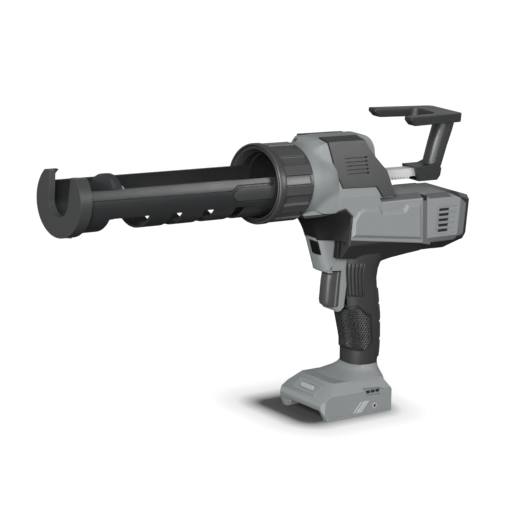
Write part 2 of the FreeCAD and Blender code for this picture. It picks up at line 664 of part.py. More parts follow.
bush_seats = [rod(f"{word}_bush_seat", "Y", f"{radius} + bush_wall", ("-plate_outer_y - overrun",
                  "plate_outer_y + overrun"), *place)
              for word, radius, place in (("drive", "shaft_radius", shaft_place),
                                          ("cross", "cross_radius", clutch_place))]
carrier_seat = rod("carrier_seat", "X", "carrier_shaft + bush_wall", ("ring_front_x - overrun",
                   "wall_front_x + overrun"), *motor_axis)
carrier_bush = tube("carrier_bush", "X", ("carrier_shaft + bush_wall", "carrier_shaft + run_gap"),
                    ("ring_front_x", "wall_front_x"), *motor_axis)
frame_blank = fuse("frame_blank", *cheeks, rear_wall, cup, spigot, spigot_root)
node("gear_frame", cut("gear_frame", frame_blank, cup_hollow, rack_way, *bush_seats, carrier_seat))
node("drive_bushes", fuse("drive_bushes", *bush_sets["drive"]))
node("cross_bushes", fuse("cross_bushes", *bush_sets["cross"]))
node("carrier_bush", carrier_bush)

# Rack backer that keeps the rack on its pinion, and the control board above it
backer_sizes = {"backer_half_x": 14, "backer_half_y": 9, "backer_depth": 11, "board_x": 8,
                "board_length": 50, "board_half": 13.5}
sizes(backer_sizes)
board_sizes = {"board_z": 244, "board_thick": 1.6, "sink_inset": 5, "sink_base": 2, "fin_height": 8,
               "fin_thick": 1.4}
sizes(board_sizes)
fin_count = 5
backer_low = "axis_height + rack_top + run_gap"
node("rack_backer", box("rack_backer", ("cross_x - backer_half_x", "cross_x + backer_half_x"),
                        ("-backer_half_y", "backer_half_y"),
                        (backer_low, f"{backer_low} + backer_depth")))
board_top = "board_z + board_thick"
node("control_board", box("control_board", ("board_x", "board_x + board_length"), ("-board_half",
                                                                                   "board_half"),
                          ("board_z", board_top)))
sink_x = ("board_x + sink_inset", "board_x + board_length - sink_inset")
sink_half = "(board_half - sink_inset / 2)"
sink = [box("sink_plate", sink_x, (f"-{sink_half}", sink_half),
            (board_top, f"{board_top} + sink_base"))]
for index in range(fin_count):
    low = f"-{sink_half} + {index / (fin_count - 1)} * (2 * {sink_half} - fin_thick)"
    sink.append(box(f"sink_fin_{index}", sink_x, (low, f"{low} + fin_thick"),
                    (f"{board_top} + sink_base", f"{board_top} + sink_base + fin_height")))
node("heat_sink", fuse("heat_sink", *sink))

# Outer form of the housing: body, spine, chin, trigger house, handle, neck and foot
body_sizes = {"body_x": -66.8, "body_z": 150, "body_length": 157.8, "body_height": 115.5,
              "body_half": 28.5, "skin": 2.2}
sizes(body_sizes)
spine_sizes = {"spine_x": -28, "spine_z": 206, "spine_length": 90, "spine_height": 59.5,
               "spine_half": 9}
sizes(spine_sizes)
neck_sizes = {"neck_rear_x": 79, "cone_rear_x": 39, "cone_radius": 64, "sleeve_x": 72,
              "split_reach": 120}
sizes(neck_sizes)
house_sizes = {"house_x": 12.4, "house_z": 98.5, "house_length": 44.1, "house_height": 73,
               "house_half": 11}
sizes(house_sizes)
prow_sizes = {"prow_half": 4, "prow_depth": 6}
sizes(prow_sizes)
wedge_sizes = {"wedge_x": -67.6, "wedge_z": 134, "wedge_length": 79.6, "wedge_height": 26,
               "wedge_half": 14}
sizes(wedge_sizes)
chin_sizes = {"chin_rear_x": 30, "chin_front_x": 66, "chin_nose_x": 54.5, "chin_half": 25,
              "chin_nose_half": 11.5, "chin_top": 196, "chin_low": 171}
sizes(chin_sizes)
foot_sizes = {"foot_x": -40.5, "foot_z": 0, "foot_length": 89, "foot_height": 34, "foot_half": 30.5,
              "foot_shoulder": 22, "foot_deck_half": 20}
sizes(foot_sizes)
grip_sizes = {"grip_long": 22, "grip_wide": 17, "grip_low": 44, "grip_high": 152, "grip_lean": 24,
              "grip_mid_x": -22.4}
sizes(grip_sizes)
body_shares = ((1, 1), (0.531, 1), (0.515, 0.926), (0.369, 0.719), (0.328, 0.649), (0.29, 0.541),
               (0.233, 0.506),
               (0.0368, 0.506), (0, 0.0952), (0.626, 0.186), (0.627, 0.39), (0.686, 0.459),
               (0.854, 0.418),
               (1, 0.41))
belly_shares = ((0, 0.0952), (0.0241, 0.0563), (0.233, 0.00433), (0.487, 0), (0.626, 0.0519),
                (0.69, 0.2),
                (0.8, 0.36), (1, 0.381), (1, 0.41), (0.854, 0.418), (0.686, 0.459), (0.627, 0.39),
                (0.626, 0.186))
body_section_shares = ((0.316, 1), (0.719, 0.978), (0.965, 0.519), (1, 0.468), (1, 0.156),
                       (0.702, 0.0519),
                       (0.421, 0))
belly_low_count = 8
spine_shares = ((1, 1), (0.489, 1), (0.256, 0.933), (0.139, 0.756), (0.128, 0.622), (0, 0.387), (0, 0),
                (1, 0))
house_shares = ((1, 1), (0.68, 0.562), (0.184, 0.548), (0.161, 0.0822), (0.331, 0.0411), (0.263, 0),
                (0.0363, 0.0616), (0, 0.705), (0.444, 0.727), (0.535, 1))
prow_shares = (0.5, 1.05)
wedge_shares = ((0.623, 0), (0.56, 0.308), (0.372, 0.462), (0, 0.64), (0, 1), (1, 1), (1, 0))
foot_shares = ((0.904, 0), (1, 0.559), (0.989, 0.662), (0.837, 1), (0.174, 1), (0.0337, 0.647), (0, 0))
grip_shares = ((0, 0, 0.8, 0.9), (0.25, 0.08, 0.88, 0.95), (0.48, 0.33, 1, 1), (0.78, 0.76, 0.98, 1.03),
               (1, 0.68, 1.4, 1.18))
neck_shares = ((-0.42, 0.62, 1.45, 1.35), (-0.2, 0.28, 1.05, 1.1), (0.09, 0.03, 0.88, 0.97))
body_span = ("body_x - overrun", "neck_front_x")
body_side = prism("body_side", "XZ_Plane", outline("body", body_shares), ("-body_half", "body_half"))
body_top = "body_z + body_height"
body_section = prism("body_section", "YZ_Plane", mirrored("body_half", "body_z", body_top,
                                                          body_section_shares),
                     body_span)
inner_section = prism("inner_section", "YZ_Plane", mirrored("(body_half - skin)", "body_z + skin",
                      f"{body_top} - skin", body_section_shares), body_span)
neck_form = fuse(
    "neck_form",
    rod("neck_ring", "X", "neck_radius", ("neck_rear_x", "neck_front_x"), "0", "axis_height"),
    cone("neck_cone", ("cone_radius", "neck_radius"), ("cone_rear_x", "neck_rear_x"), "0",
         "axis_height"),
    rod("neck_room", "X", "split_reach", (f"{body_span[0]} - overrun", "cone_rear_x"), "0",
        "axis_height"))
neck_sleeve = fuse(
    "neck_sleeve",
    rod("sleeve_ring", "X", "neck_radius", ("sleeve_x", "neck_front_x"), "0", "axis_height"),
    cone("sleeve_cone", ("cup_outer + skin", "neck_radius"), ("cup_rear_x - skin", "sleeve_x"), "0",
         "axis_height"))
body_hull = common("body_hull", body_side, body_section, neck_form)
body_form = fuse("body_form", body_hull, neck_sleeve)
belly_side = prism("belly_side", "XZ_Plane", outline("body", belly_shares), ("-body_half", "body_half"))
belly = common("belly", belly_side, body_section, neck_form)
belly_core_points = [(f"{across} - skin", f"{up} + skin") if 0 < index < belly_low_count else (across,
                                                                                               up)
                     for index, (across, up) in enumerate(outline("body", belly_shares))]
belly_core_side = prism("belly_core_side", "XZ_Plane", belly_core_points, ("-body_half", "body_half"))
belly_core = common("belly_core", belly_core_side, inner_section, neck_form)
spine = prism("spine", "XZ_Plane", outline("spine", spine_shares), ("-spine_half", "spine_half"))
house_blank = prism("house_blank", "XZ_Plane", outline("house", house_shares),
                    ("-house_half", "house_half"))
wedge = prism("wedge", "XZ_Plane", outline("wedge", wedge_shares), ("-wedge_half", "wedge_half"))
wedge_core_points = [(across, f"{up} + skin") for across, up in outline("wedge", wedge_shares)]
wedge_core = prism("wedge_core", "XZ_Plane", wedge_core_points,
                   ("-wedge_half + skin", "wedge_half - skin"))


def house_front(up_share):
    """Where the leaning front of the trigger house is at a share of its height."""
    low_share, low_up = house_shares[1]
    share = low_share + (1 - low_share) * (up_share - low_up) / (1 - low_up)
    return f"house_x + {share} * house_length"


def leaning_loft(name, plan, up_shares):
    """Loft whose plan follows the leaning front of the trigger house."""
    levels = [section(f"{name}_{index}", "XY_Plane", plan(house_front(share)),
                      f"house_z + {share} * house_height") for index, share in enumerate(up_shares)]
    return loft(name, *levels)


def left_prow_plan(front):
    """Corner that is taken off the left of the trigger house's front."""
    return [(front, "prow_half"), (f"{front} - prow_depth", "house_half"),
            (f"{front} - prow_depth", "house_half + overrun"),
            (f"{front} + overrun", "house_half + overrun"),
            (f"{front} + overrun", "prow_half")]


def right_prow_plan(front):
    """The same corner on the right."""
    return [(across, f"-({up})") for across, up in left_prow_plan(front)]


house = cut("house", house_blank, leaning_loft("left_prow", left_prow_plan, prow_shares),
            leaning_loft("right_prow", right_prow_plan, prow_shares))
chin_mid_share = 0.5
chin_flank_share = 0.8


def chin_points(rear, front, half, nose_half):
    """Plan of the chin at one height, narrowing to the front."""
    middle = f"({rear}) + {chin_mid_share} * (({front}) - ({rear}))"
    flank = f"({half}) * {chin_flank_share} + ({nose_half}) * {1 - chin_flank_share}"
    near = [(rear, half), (middle, flank), (front, nose_half)]
    return near + [(across, f"-({up})") for across, up in reversed(near)]


def chin_loft(name, inset):
    """Chin between the nose and the trigger house, or its core under the rubber."""
    upper = chin_points("chin_rear_x", f"chin_front_x - {inset}", f"chin_half - {inset}",
                        f"chin_nose_half - {inset}")
    lower = chin_points("chin_rear_x", f"chin_nose_x - {inset}", f"chin_nose_half - {inset}",
                        f"chin_nose_half - {inset}")
    return loft(name, section(f"{name}_low", "XY_Plane", lower, "chin_low"),
                section(f"{name}_high", "XY_Plane", upper, "chin_top"))


def column(name, shares, inset):
    """Stack of ellipses along the leaning handle."""
    rings = []
    for index, (up, lean, long_share, wide_share) in enumerate(shares):
        rings.append(ellipse(f"{name}_{index}", (f"grip_long * {long_share} - {inset}",
                             f"grip_wide * {wide_share} - {inset}"), f"grip_mid_x + {lean} * grip_lean",
                             f"grip_low + {up} * (grip_high - grip_low)" if shares is grip_shares
                             else f"grip_low + {up} * foot_height"))
    return loft(name, *rings)


chin = chin_loft("chin", "0")
chin_core = chin_loft("chin_core", "skin")
handle = column("handle", grip_shares, "0")
handle_core = column("handle_core", grip_shares, "skin")
neck = column("neck", neck_shares, "0")
foot_side = prism("foot_side", "XZ_Plane", outline("foot", foot_shares), ("-foot_half", "foot_half"))
foot_points = [("foot_half", "0"), ("foot_half", "foot_shoulder"), ("foot_deck_half", "foot_height")]
foot_section = prism("foot_section", "YZ_Plane", foot_points + [(f"-{across}", up) for across, up in
                     reversed(foot_points)], ("foot_x", "foot_x + foot_length"))
foot_form = common("foot_form", foot_side, foot_section)

# Black covers over the gear case, one each side of the spine
cover_sizes = {"cover_x": -21, "cover_z": 213.5, "cover_length": 91, "cover_height": 58.5}
sizes(cover_sizes)
cover_shares = ((1, 1), (0.451, 1), (0.445, 0.838), (0.412, 0.735), (0.134, 0.326), (0.0637, 0.19),
                (0, 0),
                (0.22, 0.00513), (0.286, 0.125), (0.731, 0.128), (0.901, 0.504))
cover_rooms = [cut(f"{side}_cover_room", prism(f"{side}_cover_region", "XZ_Plane", outline("cover",
                                                                                           cover_shares),
                                               ends), inner_section, neck_sleeve)
               for side, ends in (("left", ("spine_half", "body_half + overrun")),
                                  ("right", ("-body_half - overrun", "-spine_half")))]
for side, cover_room in zip(("left", "right"), cover_rooms):
    node(f"{side}_gear_cover", common(f"{side}_gear_cover", body_hull, cover_room))

# Trigger, its spring and the switch, with the lock button in front
trigger_sizes = {"trigger_front_x": 32.5, "trigger_rear_x": 13, "trigger_low": 103.5,
                 "trigger_top": 137, "trigger_half": 8, "trigger_stroke": 6}
sizes(trigger_sizes)
trigger_bevel_sizes = {"trigger_bevel": 4, "switch_rear_x": -15, "switch_front_x": 4, "switch_half": 9,
                       "switch_low": 108, "switch_top": 138}
sizes(trigger_bevel_sizes)
spring_sizes = {"spring_radius": 3, "spring_wire": 0.5, "spring_height": 116, "spring_well": 6,
                "stud_radius": 2, "stud_height": 128}
sizes(spring_sizes)
spring_turns = 5
button_sizes = {"button_wall": 1.3, "button_depth": 7.5, "button_bevel": 5.3, "button_half": 10.9,
                "button_flat": 6.6}
sizes(button_sizes)
button_shares = (0.8, 0.965)
button_room_shares = (0.794, 0.971)
trigger_points = [("trigger_rear_x", "trigger_low"), ("trigger_front_x - trigger_bevel", "trigger_low"),
                  ("trigger_front_x", "trigger_low + trigger_bevel"),
                  ("trigger_front_x", "trigger_top"),
                  ("trigger_rear_x", "trigger_top")]
stud_ends = ("switch_front_x + touch_gap - trigger_stroke", "trigger_rear_x")
stud = rod("stud", "X", "stud_radius", stud_ends, "0", "stud_height")
trigger_blank = prism("trigger_blank", "XZ_Plane", trigger_points, ("-trigger_half", "trigger_half"))
node("trigger", fuse("trigger", trigger_blank, stud))
stud_hole = rod("stud_hole", "X", "stud_radius + touch_gap",
                (f"{stud_ends[0]} - trigger_stroke - touch_gap", "switch_front_x + overrun"), "0",
                "stud_height")
switch_blank = box("switch_blank", ("switch_rear_x", "switch_front_x"), ("-switch_half", "switch_half"),
                   ("switch_low", "switch_top"))
spring_hole = rod("spring_hole", "X", "spring_radius + spring_wire + touch_gap",
                  ("switch_front_x - spring_well", "switch_front_x + overrun"), "0", "spring_height")
node("switch_module", cut("switch_module", switch_blank, stud_hole, spring_hole))


def coil(radius, wire, start, length, turns, place):
    """Compression spring along X, one unbroken tube."""
    path = Part.makeHelix(length / turns, length, radius)
    ring = Part.Wire(Part.makeCircle(wire, Vector(radius, 0, 0),
                                     Vector(0, 1, length / turns / (2 * math.pi * radius))))
    spring = Part.Wire(path).makePipeShell([ring], True, True)
    spring.Placement = FreeCAD.Placement(Vector(start, *place), TURNS["X"])
    return spring


spring_start = number("switch_front_x - spring_well + spring_wire + touch_gap")
spring_room = number("trigger_rear_x - spring_wire - touch_gap") - spring_start
shaped("trigger_spring", coil(number("spring_radius"), number("spring_wire"), spring_start, spring_room,
                              spring_turns, (0, number("spring_height"))))
print("trigger spring gap", spring_room / spring_turns - 2 * number("spring_wire"))


def button_plan(front):
    """Plan of the lock button, whose ends show in the two corners of the prow."""
    near = [(f"{front} - button_depth", "button_half"), (f"{front} - button_bevel", "button_half"),
            (f"{front} - button_wall", "button_flat")]
    return near + [(across, f"-{up}") for across, up in reversed(near)]


def button_room_plan(front):
    """Plan of the way through the trigger house that the lock button slides in."""
    return [(f"{front} - button_depth - touch_gap", "house_half + overrun"),
            (f"{front} - button_wall + touch_gap", "house_half + overrun"),
            (f"{front} - button_wall + touch_gap", "-house_half - overrun"),
            (f"{front} - button_depth - touch_gap", "-house_half - overrun")]


node("lock_button", leaning_loft("lock_button", button_plan, button_shares))
button_room = leaning_loft("button_room", button_room_plan, button_room_shares)

# Battery foot: channel, rails, terminals and the work lamp
channel_sizes = {"channel_rear_x": -33, "channel_half": 25, "channel_top": 12.5, "rail_reach": 4,
                 "rail_low": 4, "rail_high": 8, "rail_front_x": 36}
sizes(channel_sizes)
terminal_sizes = {"terminal_front_x": -15, "terminal_half": 17, "terminal_low": 8, "terminal_top": 17,
                  "blade_length": 14, "blade_high": 3}
sizes(terminal_sizes)
blade_sizes = {"blade_pitch": 9, "blade_width": 0.9, "lens_half": 9, "lens_long": 5, "lens_thick": 3,
               "bezel_half": 15, "bezel_long": 13}
sizes(blade_sizes)
bezel_sizes = {"bezel_thick": 3, "bezel_proud": 0.9, "lens_proud": 0.7, "lamp_x": 40.8, "lamp_z": 28.2,
               "lamp_board_thick": 1.6}
sizes(bezel_sizes)
blade_count = 4
slope_low_share = foot_shares[2]
slope_high_share = foot_shares[3]
slope_rise = (slope_high_share[1] - slope_low_share[1]) * number("foot_height")
slope_run = (slope_low_share[0] - slope_high_share[0]) * number("foot_length")
lamp_slope = math.atan2(slope_rise, slope_run)
lamp_turn = FreeCAD.Rotation(Vector(0, 1, 0), math.degrees(lamp_slope))


def lamp_block(name, long_word, half_word, low, high):
    """Block that lies on the sloping front of the foot, between two depths below its face."""
    block = document.addObject("Part::Box", name)
    bind(block, Length=long_word, Width=f"2 * {half_word}", Height=f"({high}) - ({low})")
    slide = math.cos(lamp_slope)
    rise = math.sin(lamp_slope)
    return seat(block, f"lamp_x - {slide} * {long_word} / 2 + {rise} * ({low})", f"-{half_word}",
                f"lamp_z + {rise} * {long_word} / 2 + {slide} * ({low})", lamp_turn)


lens_top = "bezel_proud + lens_proud"
bezel = lamp_block("bezel", "bezel_long", "bezel_half", "bezel_proud - bezel_thick", "bezel_proud")
lens = lamp_block("lens", "lens_long", "lens_half", f"{lens_top} - lens_thick", lens_top)
lamp_board = lamp_block("lamp_board", "lens_long", "lens_half",
                        "bezel_proud - bezel_thick - lamp_board_thick",
                        "bezel_proud - bezel_thick")
lens_well = lamp_block("lens_well", "lens_long", "lens_half",
                       "bezel_proud - bezel_thick - lamp_board_thick",
                       "bezel_proud + overrun")
node("lamp_bezel", cut("lamp_bezel", bezel, lens_well))
node("lamp_lens", lens)
node("lamp_board", lamp_board)
channel = box("channel", ("channel_rear_x", "foot_x + foot_length + overrun"),
              ("-channel_half", "channel_half"),
              ("foot_z - overrun", "channel_top"))
rails = [box(f"rail_{side}", ("channel_rear_x", "rail_front_x"), ends, ("rail_low", "rail_high"))
         for side, ends in (("left", ("channel_half - rail_reach", "channel_half")),
                            ("right", ("-channel_half", "rail_reach - channel_half")))]
terminal_blank = box("terminal_blank", ("channel_rear_x", "terminal_front_x"),
                     ("-terminal_half", "terminal_half"),
                     ("terminal_low", "terminal_top"))
blades = [box(f"blade_{index}", ("channel_rear_x + blade_high",
                                 "terminal_front_x + blade_length - blade_high"),
              (f"{index - (blade_count - 1) / 2} * blade_pitch - blade_width / 2",
               f"{index - (blade_count - 1) / 2} * blade_pitch + blade_width / 2"),
              ("terminal_low + blade_width", "terminal_low + blade_width + blade_high"))
          for index in range(blade_count)]
node("terminal_block", cut("terminal_block", terminal_blank, *blades))
node("terminal_blades", fuse("terminal_blades", *blades))

# Rear cap over the motor and the black tail behind it
cap_half_sizes = {"cap_half": 28, "cap_low": 150, "cap_top_z": 206.5, "motor_cap_rear_x": -107.5,
                  "motor_bore": 25, "seam": 0.8, "tail_rear_x": -140}
sizes(cap_half_sizes)
tail_sizes = {"tail_half": 11, "tail_low": 163, "tail_top": 199.5, "tail_bore": 22, "tail_bore_end": 9,
              "tail_wall": 3.5}
sizes(tail_sizes)
vent_sizes = {"vent_rear_x": -98, "vent_front_x": -83.5, "vent_low": 170.2, "vent_pitch": 5.1,
              "vent_high": 2.6}
sizes(vent_sizes)
vent_count = 5
cap_section_shares = ((0.536, 1), (0.946, 0.942), (1, 0.867), (1, 0.283), (0.714, 0.0973), (0.429, 0))
cap_points = mirrored("cap_half", "cap_low", "cap_top_z", cap_section_shares)
seam_top_share = body_shares[7][0]
seam_low_share = body_shares[8][1]
cap_side = [("motor_cap_rear_x", "cap_low"), ("motor_cap_rear_x", "cap_top_z"),
            (f"body_x + {seam_top_share} * body_length - seam", "cap_top_z"),
            ("body_x - seam", f"body_z + {seam_low_share} * body_height"), ("body_x - seam", "cap_low")]
motor_cap_form = common("motor_cap_form",
                        prism("cap_section_form", "YZ_Plane", cap_points,
                              ("motor_cap_rear_x", "wall_front_x")),
                        prism("cap_side_form", "XZ_Plane", cap_side, ("-cap_half", "cap_half")))
motor_room = rod("motor_room", "X", "motor_bore", ("motor_cap_rear_x - overrun", "ring_front_x"),
                 *motor_axis)
vents = []
for index in range(vent_count):
    low = f"vent_low + {index} * vent_pitch"
    vents.append(box(f"vent_{index}", ("vent_rear_x", "vent_front_x"),
                     ("-cap_half - overrun", "cap_half + overrun"),
                     (low, f"{low} + vent_high")))
node("rear_cap", cut("rear_cap", motor_cap_form, motor_room, *vents))
tail_points = mirrored("tail_half", "tail_low", "tail_top", cap_section_shares)
tail = loft("tail", section("tail_front", "YZ_Plane", cap_points, "motor_cap_rear_x"),
            section("tail_rear", "YZ_Plane", tail_points, "tail_rear_x"))
tail_hollow = cone("tail_hollow", ("tail_bore_end", "tail_bore"),
                   ("tail_rear_x + tail_wall", "motor_cap_rear_x"),
                   *motor_axis)
node("tail_cover", cut("tail_cover", tail, tail_hollow))

# Screws that clamp the shells, driven from the right side
screw_sizes = {"screw_radius": 1.6, "screw_head_r": 3, "screw_head_l": 2.5, "screw_tip_y": 9}
sizes(screw_sizes)
screw_nose_sizes = {"screw_nose_x": 72, "screw_nose_z": 258, "screw_nose_y": 11, "screw_back_x": -6,
                    "screw_back_z": 236, "screw_back_y": 10}
sizes(screw_nose_sizes)
screw_grip_sizes = {"screw_grip_x": -21, "screw_grip_z": 70, "screw_grip_y": 8, "screw_foot_x": 12,
                    "screw_foot_z": 24, "screw_foot_y": 20}
sizes(screw_grip_sizes)
screw_heel_sizes = {"screw_heel_x": -30, "screw_heel_z": 22, "screw_heel_y": 20, "screw_belly_x": -45,
                    "screw_belly_z": 152, "screw_belly_y": 9}
sizes(screw_heel_sizes)
screw_words = ("nose", "back", "grip", "foot", "heel", "belly")
screws = []
screw_wells = []
for word in screw_words:
    place = (f"screw_{word}_x", f"screw_{word}_z")
    shank = rod(f"{word}_shank", "Y", "screw_radius", (f"-screw_{word}_y", "screw_tip_y"), *place)
    head = rod(f"{word}_head", "Y", "screw_head_r",
               (f"-screw_{word}_y - screw_head_l", f"-screw_{word}_y"), *place)
    screws.append(fuse(f"{word}_screw", shank, head))
    screw_wells.append(rod(f"{word}_well", "Y", "screw_head_r + seat_gap",
                           ("-split_reach", f"-screw_{word}_y"),
                           *place))
node("shell_screws", fuse("shell_screws", *screws))

# Shells: the outer form less the covers and the room that the works need
trigger_room = box("trigger_room",
                   ("trigger_rear_x - trigger_stroke - touch_gap", "trigger_front_x + trigger_stroke"),
                   ("-trigger_half - touch_gap", "trigger_half + touch_gap"),
                   ("trigger_low - touch_gap", "trigger_top + touch_gap"))
switch_room = box("switch_room", ("switch_rear_x - seat_gap", "trigger_rear_x"),
                  ("-switch_half - seat_gap", "switch_half + seat_gap"),
                  ("switch_low - seat_gap", "switch_top + seat_gap"))
room = [
    motor_room, trigger_room, switch_room,
    box("frame_room", ("ring_front_x - touch_gap", "cheek_step_x + touch_gap"),
        ("-plate_outer_y - touch_gap", "plate_outer_y + touch_gap"),
        ("frame_low - move_gap", "frame_top + touch_gap")),
    box("cheek_room", ("cheek_step_x", "cup_rear_x + touch_gap"),
        ("-plate_outer_y - touch_gap", "plate_outer_y + touch_gap"),
        ("cheek_step_z - touch_gap", "frame_top + touch_gap")),
    rod("wheel_room", "Y", f"gear_module * {wheel_teeth / 2 + 1} + move_gap",
        ("-wheel_outer_y - move_gap", "-wheel_inner_y + move_gap"), *shaft_place),
    rod("cup_room", "X", "cup_outer + seat_gap", ("cup_rear_x - touch_gap", "neck_front_x + overrun"),
        "0",
        "axis_height"),
    rack_way,
    box("backer_room", ("cross_x - backer_half_x - seat_gap", "cross_x + backer_half_x + seat_gap"),
        ("-backer_half_y - seat_gap", "backer_half_y + seat_gap"),
        ("frame_top", f"{backer_low} + backer_depth + seat_gap")),
    box("board_room", ("board_x - seat_gap", "board_x + board_length + seat_gap"),
        ("-board_half - seat_gap", "board_half + seat_gap"),
        ("board_z", f"{board_top} + sink_base + fin_height + seat_gap")),
    button_room,
    rod("cross_room", "Y", f"gear_module * {clutch_teeth / 2 + 1} + move_gap",
        ("-wheel_outer_y - move_gap", "wheel_outer_y + move_gap"), *clutch_place),
    box("wire_room", ("switch_rear_x - stud_radius * 4", "switch_rear_x + stud_radius"),
        ("-stud_radius * 2", "stud_radius * 2"), ("terminal_top", "switch_low")),
    terminal_blank, bezel, lens_well, *cover_rooms,
]
shell_form = fuse("shell_form", body_form, belly_core, spine, chin_core, house, handle_core, wedge_core,
                  neck,
                  foot_form)
shell_railed = fuse("shell_railed", cut("shell_open", shell_form, channel), *rails)
shell_all = cut("shell_all", shell_railed, *room, *screws, *screw_wells)
rubber = cut("rubber", fuse("rubber_form", belly, chin, handle, wedge), shell_form, trigger_room,
             switch_room,
             motor_room, *screws, *screw_wells)
for side, ends in (("left", ("0", "split_reach")), ("right", ("-split_reach", "0"))):
    half_room = box(f"{side}_half", ("tail_rear_x", "cap_front_x"), ends,
                    ("-overrun", "axis_height + split_reach"))
    node(f"{side}_shell", common(f"{side}_shell", shell_all, half_room))
    node(f"{side}_grip", common(f"{side}_grip", rubber, half_room))

# Recompute, look for faults and write one file for each sub-part
document.recompute()
faults = [thing.Label for thing in document.Objects if {"Invalid", "Error"} & set(thing.State)]
faults += [thing.Label for thing in nodes if thing.Shape.isNull() or not thing.Shape.isValid()]
if faults:
    raise RuntimeError(f"faulty objects: {faults}")
os.makedirs("parts", exist_ok=True)
for thing in nodes:
    thing.Shape.exportStep(f"parts/{thing.Label}.step")
    print(thing.Label, len(thing.Shape.Solids), round(thing.Shape.Volume, 1))
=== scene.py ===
import math

import bmesh
import bpy
from mathutils import Matrix, Vector


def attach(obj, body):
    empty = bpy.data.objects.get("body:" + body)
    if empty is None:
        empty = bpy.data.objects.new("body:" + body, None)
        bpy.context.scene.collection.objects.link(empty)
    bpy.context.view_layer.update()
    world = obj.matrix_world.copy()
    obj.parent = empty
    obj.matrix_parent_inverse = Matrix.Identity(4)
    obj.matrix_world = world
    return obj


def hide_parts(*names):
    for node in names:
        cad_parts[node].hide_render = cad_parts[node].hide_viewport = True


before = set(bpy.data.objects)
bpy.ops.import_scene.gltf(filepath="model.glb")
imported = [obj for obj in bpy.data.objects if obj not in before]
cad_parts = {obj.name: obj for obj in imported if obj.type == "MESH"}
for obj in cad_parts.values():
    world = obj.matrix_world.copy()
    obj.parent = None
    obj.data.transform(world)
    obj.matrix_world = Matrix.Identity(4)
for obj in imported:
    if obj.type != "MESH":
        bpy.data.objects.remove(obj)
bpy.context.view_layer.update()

# Motor housing: the two grey nylon shells that clamp the motor and gears between them.
# Injection moulded with a fine spark-eroded grain, screwed together from the right side.
GREY = (0.218, 0.232, 0.236)
SIDES = ((1, "left"), (-1, "right"))
motor_half, motor_roof = 28, 209.6
roof_half, roof_edge = 20.5, 205.4
motor_outline = [(-58.5, motor_roof), (-65.3, 161), (31.8, 171.6), (31.8, 196), (38, 203), (38, motor_roof)]
panel_outline = [(30.4, 174.8), (31.2, 191), (25.5, 199.4), (18.7, 201.8), (-1.7, 200.8), (-6, 196.2),
                 (-32.8, 195.8), (-37, 201.6), (-55.4, 201.8), (-62, 165.2)]
panel_rise, panel_border = 2.2, 3.0
band_half, band_roof = 26.9, 206.9
band_outline = [(-50, band_roof), (-76, band_roof), (-76, 158.5), (-50, 163.5)]
roof_strip = ((21, 209.8), (27.8, 206), (27.4, 205.2), (20.6, 209))
roof_strip_ends = (-57.6, 6)
joint_notch = ((-64, -58.6), (20.4, 27.05), (202.6, 207.1))


def feed(tree, node, inputs):
    """Sets a node's inputs, or links them to the sockets that drive them."""
    for name, value in inputs.items():
        if isinstance(value, bpy.types.NodeSocket):
            tree.links.new(value, node.inputs[name])
        else:
            node.inputs[name].default_value = value


def add_node(tree, kind, inputs, operation=None):
    """New shader node with its inputs set or linked."""
    node = tree.nodes.new(kind)
    if operation:
        node.operation = operation
    feed(tree, node, inputs)
    return node


def maths(tree, operation, *values):
    """Output of a new math node."""
    return add_node(tree, "ShaderNodeMath", dict(enumerate(values)), operation).outputs[0]


def new_material(name):
    """Material with its node tree and shader."""
    material = bpy.data.materials.new(name)
    material.use_nodes = True
    return material, material.node_tree, material.node_tree.nodes["Principled BSDF"]


def moulded_group():
    """Shader group for moulded skins: slow mottling, fine grain and a little change in gloss."""
    group = bpy.data.node_groups.new("moulded_skin", "ShaderNodeTree")
    for way, names in (("INPUT", ("Colour", "Mottle", "Grain", "Gloss", "Gloss Change")),
                       ("OUTPUT", ("Colour", "Roughness", "Height"))):
        for name in names:
            kind = "NodeSocketColor" if name == "Colour" else "NodeSocketFloat"
            group.interface.new_socket(name, in_out=way, socket_type=kind)
    asked = group.nodes.new("NodeGroupInput").outputs
    place = group.nodes.new("ShaderNodeTexCoord").outputs["Object"]
    cloud = add_node(group, "ShaderNodeTexNoise", {"Vector": place, "Scale": 38, "Detail": 4})
    grain = add_node(group, "ShaderNodeTexNoise", {"Vector": place, "Scale": asked["Grain"], "Detail": 3})
    centred = maths(group, "SUBTRACT", cloud.outputs["Fac"], 0.5)
    swing = maths(group, "MULTIPLY_ADD", centred, asked["Mottle"], 1.0)
    speck = maths(group, "MULTIPLY_ADD", grain.outputs["Fac"], 0.12, -0.06)
    level = maths(group, "ADD", swing, speck)
    gloss = maths(group, "MULTIPLY_ADD", centred, asked["Gloss Change"], asked["Gloss"])
    tint = add_node(group, "ShaderNodeVectorMath", {0: asked["Colour"], "Scale": level}, "SCALE")
    add_node(group, "NodeGroupOutput", {"Colour": tint.outputs[0], "Roughness": gloss,
                                        "Height": grain.outputs["Fac"]})
    return group


moulded_skin = moulded_group()


def moulded(name, colour, gloss, mottle=0.12, grain=900.0, depth=0.25):
    """Plastic or rubber with the moulded skin, its own colour, gloss and grain."""
    material, tree, shader = new_material(name)
    skin = tree.nodes.new("ShaderNodeGroup")
    skin.node_tree = moulded_skin
    feed(tree, skin, {"Colour": (*colour, 1), "Mottle": mottle, "Grain": grain, "Gloss": gloss,
                      "Gloss Change": 0.12})
    bump = add_node(tree, "ShaderNodeBump", {"Height": skin.outputs["Height"], "Strength": depth,
                                             "Distance": 0.0003})
    feed(tree, shader, {"Base Color": skin.outputs["Colour"], "Roughness": skin.outputs["Roughness"],
                        "Normal": bump.outputs["Normal"]})
    return material


